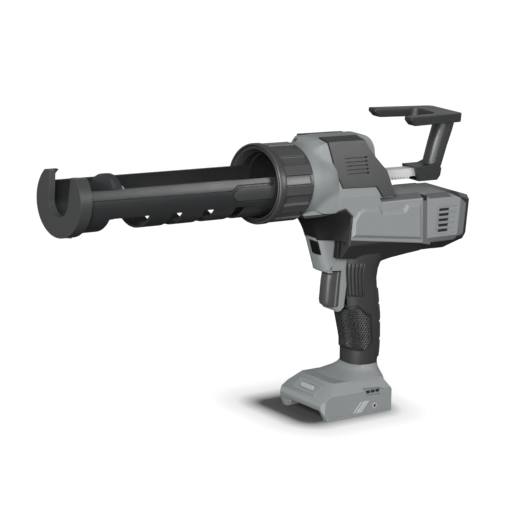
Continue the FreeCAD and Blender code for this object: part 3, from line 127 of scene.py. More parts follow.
def slab(outline, low, high, plane="XZ"):
    """Block from an outline that is pushed from one depth to the other."""
    lay = {"XZ": lambda a, b, depth: (a, depth, b),
           "XY": lambda a, b, depth: (a, b, depth),
           "YZ": lambda a, b, depth: (depth, a, b)}[plane]
    bm = bmesh.new()
    face = bm.faces.new([bm.verts.new(lay(a, b, low)) for a, b in outline])
    pushed = bmesh.ops.extrude_face_region(bm, geom=[face])
    moved = [part for part in pushed["geom"] if isinstance(part, bmesh.types.BMVert)]
    bmesh.ops.translate(bm, vec=lay(0, 0, high - low), verts=moved)
    bmesh.ops.recalc_face_normals(bm, faces=bm.faces)
    return bm


def block(x, y, z):
    """Box between two corners, for cuts and small bars."""
    return slab([(x[0], z[0]), (x[1], z[0]), (x[1], z[1]), (x[0], z[1])], *y)


def flank(side, inner, outer):
    """Stretch across one flank, on the left for side 1 and on the right for side -1."""
    return side * inner, side * outer


def flank_block(side, x, y, z):
    """Box on one flank."""
    return block(x, flank(side, *y), z)


def close_ends(bm):
    """Fills the open ends of a mesh and turns its faces outwards."""
    bmesh.ops.holes_fill(bm, edges=[edge for edge in bm.edges if edge.is_boundary], sides=0)
    bmesh.ops.recalc_face_normals(bm, faces=bm.faces)


def shave(bm, point, normal):
    """Cuts off what lies beyond a plane and closes the cut."""
    bmesh.ops.bisect_plane(bm, geom=bm.verts[:] + bm.edges[:] + bm.faces[:], plane_co=point, plane_no=normal,
                           clear_outer=True, dist=0.0001)
    close_ends(bm)


def shave_flanks(bm, point, normal):
    """Shaves both flanks along a plane and its mirror image."""
    for side in (1, -1):
        shave(bm, (point[0], side * point[1], point[2]), (normal[0], side * normal[1], normal[2]))


def slope_sides(bm, inner, outer):
    """Shaves both flanks along a line given by two points across and up."""
    normal = Vector((0, inner[1] - outer[1], outer[0] - inner[0]))
    if normal.y < 0:
        normal.negate()
    shave_flanks(bm, (0, *inner), normal)


def raised(outline, y, rise, border):
    """Panel on a flank: a thin slab whose outer face is drawn in to a sloped border."""
    side = math.copysign(1, y)
    bm = slab(outline, y - side, y)
    top = max(bm.faces, key=lambda face: side * face.calc_center_median().y)
    bmesh.ops.inset_region(bm, faces=[top], thickness=border, depth=rise, use_even_offset=True)
    return bm


def add_object(name, data):
    """New object in the scene for a mesh, a lamp or a camera."""
    piece = bpy.data.objects.new(name, data)
    bpy.context.scene.collection.objects.link(piece)
    return piece


def finish(name, bm, material, body, edge, stands_for=(), crease=25):
    """Turns a mesh into a piece in metres, softens its edges and lets it ride on its body."""
    bmesh.ops.remove_doubles(bm, verts=bm.verts, dist=0.001)
    bmesh.ops.recalc_face_normals(bm, faces=bm.faces)
    bmesh.ops.scale(bm, vec=(0.001, 0.001, 0.001), verts=bm.verts)
    mesh = bpy.data.meshes.new(name)
    bm.to_mesh(mesh)
    bm.free()
    for face in mesh.polygons:
        face.use_smooth = True
    mesh.materials.append(material)
    piece = add_object(name, mesh)
    if edge:
        soft = piece.modifiers.new("soft_edges", "BEVEL")
        soft.width = edge / 1000
        soft.segments = 3
        soft.limit_method = "ANGLE"
        soft.angle_limit = math.radians(crease)
        soft.harden_normals = True
        soft.use_clamp_overlap = True
    else:
        mesh.set_sharp_from_angle(angle=math.radians(crease))
    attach(piece, body)
    if stands_for:
        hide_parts(*stands_for)


grey_plastic = moulded("grey_plastic_grain", GREY, 0.46, mottle=0.07)
# A darker copy of the grey plastic: painted shade on the joint band and on the strips along the roof edges.
painted_shade_grey = moulded("grey_plastic_painted_shade", (0.105, 0.11, 0.112), 0.5, mottle=0.07)
# Near-black material for sheets set where there is only shade: painted shade in openings and gaps.
painted_shade_black = moulded("painted_shade_opening", (0.004, 0.004, 0.004), 0.8, depth=0.0)


def grey_moulding(name, bm, edge, stands_for=(), crease=25):
    """Part of the grey shells."""
    finish(name, bm, grey_plastic, "housing", edge, stands_for, crease)


def painted_shade_sheet(name, bm):
    """Near-black sheet painted as shade inside a gap, notch, hole or vent in the shells."""
    finish(name, bm, painted_shade_black, "housing", edge=0)


def edge_strip(name, side, section, ends):
    """Strip laid along the edge between the roof and a side, its grey darkened as painted shade."""
    strip = slab([(side * y, z) for y, z in section], *ends, "YZ")
    finish(name, strip, painted_shade_grey, "housing", edge=0.3)


motor_block = slab(motor_outline, -motor_half, motor_half)
slope_sides(motor_block, (roof_half, motor_roof), (motor_half, roof_edge))
grey_moulding("motor_housing", motor_block, edge=1.6, stands_for=("left_shell", "right_shell"))
# The joint band sits a little sunk between housing and cap, and its darker grey is painted shade.
joint_band = slab(band_outline, -band_half, band_half)
slope_sides(joint_band, (19.5, band_roof), (band_half, 203.4))
finish("joint_band", joint_band, painted_shade_grey, "housing", edge=0.6)
for side, mark in SIDES:
    panel = raised(panel_outline, side * motor_half, panel_rise, panel_border)
    grey_moulding(f"{mark}_side_panel", panel, edge=0.35, crease=12)
    edge_strip(f"{mark}_roof_strip", side, roof_strip, roof_strip_ends)
    # Near-black block in the joint notch: painted shade.
    painted_shade_sheet(f"{mark}_joint_notch", flank_block(side, *joint_notch))

# Gear case: the tall part of the same shells, round the rack and its drive.
# Its flanks lean in to a narrow top, and the nose turns from that shape into a round neck.
# A shoulder runs from the motor's side to the underside of the nose.
AXIS_Z = 225.5
neck_radius, spigot_radius = 33, 29.1
case_half, case_top, crease_z = 28.3, 265.4, 214.3
top_half, flank_top = 9, (20.4, 262.8)
case_front, shoulder_half, spine_half = 48.8, case_half + 0.2, 8.9
toe_in = (0.175, 0.985, 0)
rack_way = ((-60, 110), (-5.6, 5.6), (218.3, 229.8))
case_outline = [(51.6, case_top), (18, case_top), (14.5, 257), (-6.5, 235), (-13, 226), (-18.6, 213.6),
                (-18.6, 209.2), (-1, 209.2), (-3, 203), (31.8, 196), (38, 201), (51.6, 200)]
case_end_half = [(top_half, case_top), flank_top, (case_half, crease_z), (case_half, 199.5), (20, 197.4)]
case_end = case_end_half + [(-y, z) for y, z in reversed(case_end_half)]
nose_stations = ((51, 0, 0), (59.4, 0, 29.8), (64.5, 0.03, 30.6), (68, 0.16, 31.2), (71, 0.42, 31.7),
                 (74, 0.72, 32.1), (77, 0.93, 32.6), (79.5, 1, 0), (87.4, 1, 0),
                 (88, 1, 0, neck_radius - 0.6))
shoulder_outline = [(1.6, 213.8), (case_front, 214.5), (87, 199.6), (86, 197.2), (68, 198.3), (41.5, 202.9),
                    (31.8, 195), (10, 190), (-4.5, 204.5)]


def carve(bm, *cutters):
    """Takes other meshes out of a mesh with an exact boolean."""
    meshes = [bpy.data.meshes.new("carve_part") for part in (bm, *cutters)]
    parts = []
    for mesh, part in zip(meshes, (bm, *cutters)):
        part.to_mesh(mesh)
        part.free()
        parts.append(add_object("carve_part", mesh))
    for cutter in parts[1:]:
        step = parts[0].modifiers.new("carve", "BOOLEAN")
        step.operation = "DIFFERENCE"
        step.solver = "EXACT"
        step.object = cutter
    depsgraph = bpy.context.evaluated_depsgraph_get()
    remains = bmesh.new()
    remains.from_mesh(parts[0].evaluated_get(depsgraph).to_mesh())
    for part in parts:
        bpy.data.objects.remove(part)
    for mesh in meshes:
        bpy.data.meshes.remove(mesh)
    bmesh.ops.dissolve_limit(remains, angle_limit=0.01, verts=remains.verts, edges=remains.edges)
    return remains


def arc(centre, radius, start, stop, steps):
    """Points of a round stretch of an outline, between two angles in degrees."""
    turns = [math.radians(start + (stop - start) * step / steps) for step in range(steps + 1)]
    return [(centre[0] + radius * math.cos(turn), centre[1] + radius * math.sin(turn)) for turn in turns]


def cylinder(radius, length, middle, axis, steps):
    """Cylinder round a middle point, tipped from upright by a quarter turn about an axis."""
    bm = bmesh.new()
    bmesh.ops.create_cone(bm, cap_ends=True, segments=steps, radius1=radius, radius2=radius, depth=length)
    bmesh.ops.rotate(bm, cent=(0, 0, 0), matrix=Matrix.Rotation(math.pi / 2, 3, axis), verts=bm.verts)
    bmesh.ops.translate(bm, vec=middle, verts=bm.verts)
    return bm


def disc(radius, x, steps=64):
    """Cylinder on the barrel axis."""
    return cylinder(radius, x[1] - x[0], ((x[0] + x[1]) / 2, 0, AXIS_Z), "Y", steps)


def closed_loop(bm, points):
    """Edges of a new closed loop through points."""
    verts = [bm.verts.new(point) for point in points]
    return [bm.edges.new((verts[i - 1], verts[i])) for i in range(len(verts))]


def loft(rings):
    """Skin through rings of points, closed at both ends."""
    bm = bmesh.new()
    loops = [closed_loop(bm, ring) for ring in rings]
    for first, second in zip(loops, loops[1:]):
        bmesh.ops.bridge_loops(bm, edges=first + second)
    close_ends(bm)
    return bm


def reach(outline, ray):
    """Distance from the barrel axis to an outline across X, along a ray."""
    furthest = 0
    for i in range(len(outline)):
        start, stop = (Vector((y, z - AXIS_Z)) for y, z in (outline[i - 1], outline[i]))
        along = stop - start
        turn = ray.cross(along)
        if abs(turn) > 1e-9:
            hit, share = start.cross(along) / turn, start.cross(ray) / turn
            if -1e-6 <= share <= 1 + 1e-6:
                furthest = max(furthest, hit)
    return furthest


def nose_ring(x, share, core, radius=neck_radius):
    """Ring of the nose: the case's outline at share 0, the round neck at share 1, never inside its core."""
    ring = []
    count = 96
    for step in range(count):
        turn = 2 * math.pi * (step + 0.5) / count
        ray = Vector((math.cos(turn), math.sin(turn)))
        out = max(core, reach(case_end, ray) * (1 - share) + radius * share)
        ring.append((x, out * ray.x, AXIS_Z + out * ray.y))
    return ring


gear_case = slab(case_outline, -case_half, case_half)
slope_sides(gear_case, flank_top, (case_half, crease_z))
slope_sides(gear_case, (top_half, case_top), flank_top)
grey_moulding("gear_case", carve(gear_case, block(*rack_way)), edge=1.0)
nose = loft([nose_ring(*station) for station in nose_stations])
nose = carve(nose, block(*rack_way), disc(spigot_radius, (75, 95)))
grey_moulding("nose", nose, edge=0, crease=32)
shoulder = slab(shoulder_outline, -shoulder_half, shoulder_half)
shave_flanks(shoulder, (case_front, shoulder_half, 0), toe_in)
grey_moulding("shoulder", shoulder, edge=1.0, crease=8)
spine_outline = [(62, case_top + 0.2), *arc((12.5, 244.5), 21.1, 90, 165, 10), (-12, 233), (-19.5, 225),
                 (-19.5, 209), (62, 209)]
spine = slab(spine_outline, -spine_half, spine_half)
grey_moulding("spine", carve(spine, block(*rack_way)), edge=1.0)

# Gear covers: two black panels that screw over the case from each side, one the mirror image of the other.
# Satin nylon with five fine breather lines that each end in a small port, on a sheet of painted shade.
CHARCOAL = (0.026, 0.027, 0.028)
cover_outline = [(66.4, 268), (18.6, 268), (18.4, 263), (12.6, 254.2), (-9.4, 234), (-20.2, 210.6),
                 (-2.8, 210.4), (5, 220), (47, 221.2), (57.4, 240.2), (61, 251.9), (64.8, 263)]
flank_lean = (case_half - flank_top[0]) / (flank_top[1] - crease_z)
cover_rise, shade_sheet_rise, cover_gap = 1.0, 0.2, 0.7
cover_reach = (9.2, 34)
breather_count, breather_top, breather_pitch = 5, 248, 3.5
line_half, line_depth, port_half, port_depth = 0.4, 0.7, 0.9, 2
black_plastic = moulded("black_plastic_satin", CHARCOAL, 0.32, mottle=0.14, grain=1100.0, depth=0.2)


def black_moulding(name, bm, body, edge, stands_for=(), crease=25):
    """Satin black part of the housing, the carriage or the rod."""
    finish(name, bm, black_plastic, body, edge, stands_for, crease)


def drawn_in(outline, gap):
    """Outline moved inwards by a gap, corner by corner."""
    moved = []
    for i, corner in enumerate(outline):
        before = (Vector(corner) - Vector(outline[i - 1])).normalized().orthogonal()
        after = (Vector(outline[(i + 1) % len(outline)]) - Vector(corner)).normalized().orthogonal()
        moved.append(Vector(corner) + (before + after) * gap / (1 + before.dot(after)))
    return moved


def flank_slab(outline, side, rise):
    """Plate that lies on one flank of the case and over its top slope."""
    plate = slab(outline, *flank(side, *cover_reach))
    slope_sides(plate, (flank_top[0] + rise, flank_top[1]), (case_half + rise, crease_z))
    slope_sides(plate, (top_half, case_top + rise * 0.6), (flank_top[0] + rise, flank_top[1] + rise * 0.6))
    return plate


def breathers(side):
    """Cutters for the lines and ports of one cover, each a little further back than the one above."""
    cutters = []
    for line in range(breather_count):
        z = breather_top - breather_pitch * line
        y = case_half + cover_rise - (z - crease_z) * flank_lean
        back = 0.6 * line
        cutters.append(flank_block(side, (19.2 - back, 44 - 0.5 * line), (y - line_depth, y + 2),
                                   (z - line_half, z + line_half)))
        cutters.append(flank_block(side, (16.8 - back, 19.4 - back), (y - port_depth, y + 2),
                                   (z - port_half, z + port_half)))
    return cutters


for side, mark in SIDES:
    # Near-black sheet under the cover, showing in the gap round its edge: painted shade.
    painted_shade_sheet(f"{mark}_cover_shade_sheet", flank_slab(cover_outline, side, shade_sheet_rise))
    cover = carve(flank_slab(drawn_in(cover_outline, cover_gap), side, cover_rise), *breathers(side))
    black_moulding(f"{mark}_cover", cover, "housing", edge=0.45, stands_for=(f"{mark}_gear_cover",))

# Motor cap and tail: the grey cap closes the shells behind a slanted joint, with cooling slots each side.
# A black boat-shaped tail is screwed on behind it and its lip runs on under the cap.
# The halves below give the distance across, the height and how far that corner rises towards the tail's end.
upper_half = [(20.5, 207.4, -8), (28, 204, -8.5), (28, 166, -3.5)]
cap_half = upper_half + [(23.4, 160.1, -2)]
tail_half = upper_half + [(21, 157, -1), (12, 150, 4)]
sole_half = [(23.7, 160.2, -2), (21.2, 157, -1), (12, 150, 4)]
taper_start, tail_end, tail_taper, tail_middle = -110, -140, 0.555, 181.4
cap_places, tail_places = (-62, taper_start, -129.5), (-96, taper_start, -138.8)
sole_places = (-69, taper_start, -137)
cap_strip = ((20.8, 207.6), (28.1, 204.3), (27.6, 203.5), (20.3, 206.8))
cap_strip_ends = (-97, -67.5)
cap_joint, cap_roof_slope = ((-64.4, 0, 207), (46.5, 0, -6.4)), ((-97, 0, 207.4), (-0.4, 0, 0.917))
vent_bay = ((-106, -79.5), (26.9, 32), (168.4, 195.4))
vent_shade = ((-101, -82), (25.2, 25.95), (167, 196))
vent_room = ((-109, -90), (25, 40), (164, 198))
slot_count, slot_pitch, slot_low, slot_half = 5, 5.1, 171.5, 1.35
slot_start, slot_length, slot_lean, slot_depth = -98, 13.8, 0.28, (25.8, 32)
rib_half, rib_ends, rib_depth = 0.5, (-105.8, -80), (26.6, 27.8)


def tail_ring(x, half, inset=0.0):
    """The cap's outline at one place along X, drawn in towards the tail's end."""
    share = max(0, (taper_start - x) / (taper_start - tail_end))
    outline = [(y * (1 - tail_taper * share) - inset, z + shift * share) for y, z, shift in half]
    return [(x, y, z - inset) for y, z in outline] + [(x, -y, z - inset) for y, z in reversed(outline)]


def joined(parts):
    """One mesh from several that stand apart."""
    bm = bmesh.new()
    for part in parts:
        mesh = bpy.data.meshes.new("joined_part")
        part.to_mesh(mesh)
        part.free()
        bm.from_mesh(mesh)
        bpy.data.meshes.remove(mesh)
    return bm


motor_cap = loft([tail_ring(x, cap_half) for x in cap_places])
shave(motor_cap, *cap_joint)
shave(motor_cap, *cap_roof_slope)
cuts = []
for side, mark in SIDES:
    cuts.append(flank_block(side, *vent_bay))
    for line in range(slot_count):
        z = slot_low + slot_pitch * line
        x = slot_start + slot_lean * line
        cuts.append(flank_block(side, (x, x + slot_length), slot_depth, (z - slot_half, z + slot_half)))
    ribs = []
    for line in range(slot_count - 1):
        z = slot_low + slot_pitch * (line + 0.5)
        ribs.append(flank_block(side, rib_ends, rib_depth, (z - rib_half, z + rib_half)))
    grey_moulding(f"{mark}_vent_ribs", joined(ribs), edge=0.2)
    # Near-black sheet behind the cooling slots: painted shade.
    painted_shade_sheet(f"{mark}_vent_shade", flank_block(side, *vent_shade))
    edge_strip(f"{mark}_cap_strip", side, cap_strip, cap_strip_ends)
grey_moulding("motor_cap", carve(motor_cap, *cuts), edge=0.6, stands_for=("rear_cap",))
tail_rings = [tail_ring(x, tail_half, 0.35) for x in tail_places]
tail_rings.append([(x, y * 0.9, tail_middle + (z - tail_middle) * 0.95)
                   for x, y, z in tail_ring(tail_end, tail_half, 0.6)])
tail = carve(loft(tail_rings), *(flank_block(side, *vent_room) for side in (1, -1)))
black_moulding("tail", tail, "housing", edge=0.7, stands_for=("tail_cover",))
sole = loft([tail_ring(x, sole_half) for x in sole_places])
black_moulding("cap_sole", sole, "housing", edge=0.5)

# Rubber overmould: a soft black elastomer bonded to the shells on the handle, the belly and the chin.
# The handle leans forward and swells for the palm. It has a knurled panel in front, ribs above it and
# four pads behind. The chin fills the hollow under the nose, inside a thin raised rim.
grip_power = 2.5
grip_stations = ((43.4, -22.2, 17.3, 15.0), (44.6, -22.2, 17.8, 15.3), (49, -22.0, 18.0, 15.5),
                 (58, -21.6, 18.5, 15.8), (68, -20.4, 18.8, 16.2), (80, -17.5, 19.9, 16.8),
                 (92, -14.5, 21.4, 17.1), (104, -11.6, 21.4, 17.1), (116, -8.8, 21.1, 17.1),
                 (128, -6.0, 21.3, 17.3), (137, -5.2, 22.6, 17.7), (144, -6.0, 24.4, 18.2),
                 (150, -6.8, 25.8, 18.9), (154, -7.2, 26.3, 19.1))
trigger_way = ((2, 40), (-8.4, 8.4), (103.2, 137.4))
skin_radius, knurl_turns, knurl_heights = 18, (-97, 97), (58.6, 107.4)
knurl_reach, knurl_low, knurl_high, knurl_border = 29, 59.5, 100, 1.6
upper_corner, lower_corner, lower_slope = 94.6, 66.2, 1.1
diamond_wide, diamond_high = 2.6, 3.6
sweep_low, sweep_half, sweep_depth = 102.2, 10, 4
rib_turns, rib_heights, rib_count = (27, 82), (113.5, 146), 5
rib_shade_turns, rib_shade_heights, rib_shade_level = (29, 80), (114.4, 145), 0.15
pad_turns, pad_heights = (125, 235), ((50, 67), (68.6, 84.6), (86.2, 102.2), (103.8, 118.4))
belly_half, rim_half = 27.5, 28.6
belly_outline = [(-74.5, 150.8), (-56.3, 148.5), (-39.3, 146), (-30, 143.6), (-25, 139.5), (-22, 131),
                 (-8, 128), (12.4, 128), (12.4, 150.2), (31.4, 152), (31.4, 174), (-66.6, 163.4)]
belly_front = ((31.2, 35), (-16.6, 16.6), (152.4, 171))
rim_gap = ((30, 90), (-7, 7), (150, 210))
chin_plans = ((170, ((31, 27), (35, 21), (41, 15), (48, 12), (53.6, 9.5), (55, 6.5))),
              (176, ((31, 27.2), (36, 22), (43, 16.5), (50, 13.2), (56.2, 10), (57.6, 6.5))),
              (182, ((31, 27.4), (38.5, 23), (46.5, 18.2), (54, 14.4), (59.8, 10.5), (61.2, 6.5))),
              (188, ((31, 27.5), (42, 24), (50, 20.5), (58, 16.5), (64, 11.5), (65.6, 7))),
              (194, ((31, 27.6), (45, 26), (55, 23), (64, 19), (71, 13), (73, 7.5))),
              (199, ((31, 27.7), (48, 27.2), (60, 25), (70, 20.5), (78, 14), (80.5, 8))),
              (203.5, ((31, 27.8), (50, 27.7), (63, 26), (74, 21.5), (82.5, 14.5), (85, 8))))
rim_outline = [(85, 197.2), (68, 198.4), (41.5, 203), (31.6, 195.2), (31.6, 171.8), (33.4, 171.8),
               (33.4, 194.2), (41.9, 201), (68, 196.4), (85, 195.4)]
rubber = moulded("soft_rubber", (0.03, 0.03, 0.031), 0.5, mottle=0.16, grain=700.0, depth=0.35)
knurled_rubber = moulded("knurled_rubber", (0.016, 0.016, 0.017), 0.38, mottle=0.1, grain=700.0, depth=0.2)
# Near-black copy of the rubber: painted shade on the chin's hollow under the nose and the belly's front below
# it.
painted_shade_rubber = moulded("rubber_painted_shade", (0.003, 0.003, 0.0032), 0.62, mottle=0.16, grain=700.0, depth=0.35)


def squarish(turn, half_x, half_y, power):
    """Point of a rounded section: an ellipse at power 2, squarer with more."""
    c, s = math.cos(turn), math.sin(turn)
    return half_x * math.copysign(abs(c) ** (2 / power), c), half_y * math.copysign(abs(s) ** (2 / power), s)


def oval(z, middle, half_x, half_y, power=grip_power):
    """Level ring of a rounded section."""
    count = 64
    points = [squarish(2 * math.pi * step / count, half_x, half_y, power) for step in range(count)]
    return [(middle + x, y, z) for x, y in points]


def grip_spot(turn, z, rise):
    """Point on the handle at a turn from straight ahead, a height and a rise off the skin."""
    below = max(station for station in grip_stations if station[0] <= z)
    above = min(station for station in grip_stations if station[0] > z)
    share = (z - below[0]) / (above[0] - below[0])
    middle, half_x, half_y = (a + (b - a) * share for a, b in zip(below[1:], above[1:]))
    x, y = squarish(turn, half_x, half_y, grip_power)
    outward = Vector((math.cos(turn) * half_y, math.sin(turn) * half_x, 0)).normalized()
    return Vector((middle + x, y, z)) + outward * rise


def grip_patch(name, turns, heights, steps, relief, material):
    """Shaped sheet on the handle, of rubber or of painted shade, between two turns in degrees and two
    heights.
    """
    bm = bmesh.new()
    bmesh.ops.create_grid(bm, x_segments=steps[0], y_segments=steps[1], size=0.5)
    for vert in bm.verts:
        turn = math.radians(turns[0] + (turns[1] - turns[0]) * (vert.co.x + 0.5))
        z = heights[0] + (heights[1] - heights[0]) * (vert.co.y + 0.5)
        vert.co = grip_spot(turn, z, relief(turn, z))
    bmesh.ops.solidify(bm, geom=bm.faces[:], thickness=1.2)
    finish(name, bm, material, "housing", edge=0, crease=70)


def knurl(turn, z):
    """Relief of the front panel: a raised border round fine diamonds, sunk where the trigger passes."""
    along = abs(turn) * skin_radius
    room = knurl_reach - along
    depth = min(room, z - knurl_low, knurl_high + 0.25 * along - z, (room - (z - upper_corner)) / 1.41,
                (room - lower_slope * (lower_corner - z)) / 1.49)
    if z > sweep_low and along < sweep_half:
        return -sweep_depth
    if depth < 0:
        return max(-0.9, 0.2 + 2 * depth)
    if depth < knurl_border:
        return 0.2 + 1.1 * math.sin(math.pi * depth / knurl_border)
    across, up = turn * skin_radius / diamond_wide, z / diamond_high
    ridge = min(abs(line - round(line)) for line in (across + up, across - up))
    return 0.1 + 0.9 * min(1, 3.2 * ridge)


def rib_wave(turn, z):
    """Relief of the upright ribs beside the trigger."""
    side_fade, end_fade = 0.04, 1.2
    share = (abs(math.degrees(turn)) - rib_turns[0]) / (rib_turns[1] - rib_turns[0])
    ends = min(1, share / side_fade, (1 - share) / side_fade, (z - rib_heights[0]) / end_fade,
               (rib_heights[1] - z) / end_fade)
    groove = max(0, math.cos(2 * math.pi * (rib_count * share - 0.5))) ** 2
    return -0.5 + ends * (1.5 - 1.6 * groove)


def pad_relief(low, high):
    """Relief of one rear pad between two heights, rounded off at its edges."""
    side_fade, end_fade = 0.07, 1.6

    def swell(turn, z):
        share = (math.degrees(turn) - pad_turns[0]) / (pad_turns[1] - pad_turns[0])
        across = min(1, share / side_fade, (1 - share) / side_fade)
        upright = min(1, (z - low) / end_fade, (high - z) / end_fade)
        return -0.5 + 1.6 * math.sin(math.pi / 2 * across * upright)

    return swell


def bend(points, steps=5):
    """Smooth line through points, for plans that bend without corners."""
    line = []
    for i in range(len(points) - 1):
        a, b = Vector(points[max(0, i - 1)]), Vector(points[i])
        c, d = Vector(points[i + 1]), Vector(points[min(len(points) - 1, i + 2)])
        for step in range(steps):
            t = step / steps
            line.append(0.5 * (2 * b + (c - a) * t + (2 * a - 5 * b + 4 * c - d) * t ** 2
                               + (3 * b - a - 3 * c + d) * t ** 3))
    return line + [Vector(points[-1])]


def both_flanks(near, z):
    """Level ring from the plan of the left flank and its mirror image."""
    return [(x, y, z) for x, y in near] + [(x, -y, z) for x, y in reversed(near)]


handle = carve(loft([oval(*station) for station in grip_stations]), block(*trigger_way))
finish("grip", handle, rubber, "housing", edge=0, crease=45, stands_for=("left_grip", "right_grip"))
grip_patch("knurled_panel", knurl_turns, knurl_heights, (220, 140), knurl, knurled_rubber)
for side, mark in SIDES:
    # Near-black sheet under each set of ribs: painted shade between them.
    grip_patch(f"{mark}_rib_shade_sheet", flank(side, *rib_shade_turns), rib_shade_heights, (40, 12), lambda turn, z: rib_shade_level,
               painted_shade_black)
    grip_patch(f"{mark}_grip_ribs", flank(side, *rib_turns), rib_heights, (90, 20), rib_wave, rubber)
for number, heights in enumerate(pad_heights, 1):
    grip_patch(f"rear_pad_{number}", pad_turns, heights, (44, 20), pad_relief(*heights), rubber)
belly = slab(belly_outline, -belly_half, belly_half)
slope_sides(belly, (13.5, 147), (27.6, 166.5))
finish("belly", carve(belly, block(*trigger_way)), rubber, "housing", edge=1.2, crease=15)
chin = loft([both_flanks(bend(plan), z) for z, plan in chin_plans])
# The chin and the belly's front are in rubber darkened as painted shade.
finish("chin", chin, painted_shade_rubber, "housing", edge=0, crease=50)
finish("belly_front", block(*belly_front), painted_shade_rubber, "housing", edge=0.8)
rim = slab(rim_outline, -rim_half, rim_half)
shave_flanks(rim, (case_front, rim_half, 0), toe_in)
finish("chin_rim", carve(rim, block(*rim_gap)), rubber, "housing", edge=0.4, crease=8)

# Trigger house: the grey bow of the shells in front of the grip, with a rounded prow.
# A black lock-off slider is set round the prow's left front corner and is pushed across.
# The trigger slides in a grey frame below, against a coil spring.
house_half, prow_radius, guard_half = 11.1, 7.5, 10.2
prow_front, prow_low, prow_lean = 42.4, 139.5, 0.44
prow_stations = ((137.9, 38.6, 1.6), (139.3, 37.8), (143, 35.2), (148, 32.4), (152, 30.8), (160, 30),
                 (171.7, 30))
slider_rear, slider_grow, slider_right, slider_left = 44, 0.6, -1.4, 8.6
slider_stations = ((155, 0.7), (156.2, 0), (168.2, 0), (169.4, 0.7))
guard_outline = [(36, 151.6), (32, 151.4), (12.4, 150.1), (14, 103), (17.6, 99.8), (21.5, 99), (22.6, 101.6),
                 (19.8, 104.6), (20.5, 138.6), (34, 139.2), (39.6, 140)]
shoe_stations = ((103.6, 30.2), (105, 32.6), (109, 33.9), (128, 34), (134.5, 33.4), (136.9, 31))
shoe_radius = 5.5
spring_room = ((12, 26), (-5.8, 5.8), (107, 133))
lock_black = moulded("lock_black", (0.006, 0.006, 0.0065), 0.4, mottle=0.1, grain=1200.0, depth=0.15)
trigger_plastic = moulded("trigger_charcoal", (0.062, 0.062, 0.064), 0.22, grain=1200.0, depth=0.15)


def prow_ring(z, rear, pull=0.0, grow=0.0):
    """Plan of the house at one height: straight flanks and a rounded front that leans forward with height."""
    front = prow_front + prow_lean * (z - prow_low) - pull
    corner = (front - prow_radius, house_half - prow_radius)
    return both_flanks([(rear, house_half + grow), *arc(corner, prow_radius + grow, 90, 0, 8)], z)


def shoe_ring(z, front):
    """Plan of the trigger at one height: a body that fills the frame and a narrower rounded shoe."""
    return both_flanks([(13.2, 7.9), (22.6, 7.9), (23.4, 6.9),
                        *arc((front - shoe_radius, 1.4), shoe_radius, 90, 0, 7)], z)


grey_moulding("trigger_house", loft([prow_ring(*station) for station in prow_stations]), edge=0.7, crease=30)
slider = loft([prow_ring(z, slider_rear, pull, slider_grow) for z, pull in slider_stations])
shave(slider, (0, slider_right, 0), (0, -1, 0))
shave(slider, (0, slider_left, 0), (0, 1, 0))
finish("lock_slider", slider, lock_black, "lock", edge=0.8, stands_for=("lock_button",))
guard = slab(guard_outline, -guard_half, guard_half)
grey_moulding("trigger_frame", carve(guard, block(*trigger_way)), edge=0.9)
shoe = carve(loft([shoe_ring(*station) for station in shoe_stations]), block(*spring_room))
finish("trigger_shoe", shoe, trigger_plastic, "trigger", edge=0.5, stands_for=("trigger",),
       crease=35)

# Battery foot: the flared end of the shells, an upside-down channel with ledges that a battery slides on to.
# Its flanks have a short vent, a ringed hole and two raised bars in a paler grey.
foot_half, foot_top = 30.5, 34
foot_outline = [(41, 0), (48.2, 11.4), (49.2, 15.4), (47.6, 19.8), (31, foot_top), (-31.5, foot_top),
                (-34, 30.5), (-40.4, 21.6), (-42.6, 0)]
channel = ((-35, 60), (-26, 26), (-2, 11))
ledge = ((-33, 40), (21.4, 27), (4, 7.4))
foot_groove = ((-39, 39), (30.1, 32), (2.5, 3.1))
front_corner = ((47.4, 29, 0), (0.52, 0.854, 0))
slope_corner = ((31, 18, foot_top), (0.51, 0.328, 0.795))
vent_pocket = [(-2.5, 26.6), (-24, 25.4), (-30, 23), (-27.6, 18.6), (-8.3, 19.2)]
pocket_depth, slit_depth = (27.2, 34), (26.8, 27.4)
flare_stations = ((29, -5.5, 35, 27, 5), (32.6, -8.6, 31.6, 24.8, 4.6), (35.4, -13.2, 26.9, 21.4, 4),
                  (38.4, -18.2, 21.9, 18.3, 3.2), (41.2, -20.8, 19, 16.4, 2.8), (44.4, -22.2, 17.9, 15.6))
bar_low, bar_high, bar_lean, bar_root = 3.6, 14.4, 9, 30.2
hole_x, hole_z, hole_radius, ring_radius, ring_bore = -19.4, 8.2, 1.7, 2.8, 1.6
slit_count, slit_start, slit_pitch, slit_low, slit_high = 3, -25.6, 6, 20.2, 23
pale_grey = moulded("grey_plastic_pale", (0.36, 0.375, 0.38), 0.44, mottle=0.07)


def pin(radius, x, y, z):
    """Short cylinder along Y."""
    return cylinder(radius, abs(y[1] - y[0]), (x, (y[0] + y[1]) / 2, z), "X", steps=32)


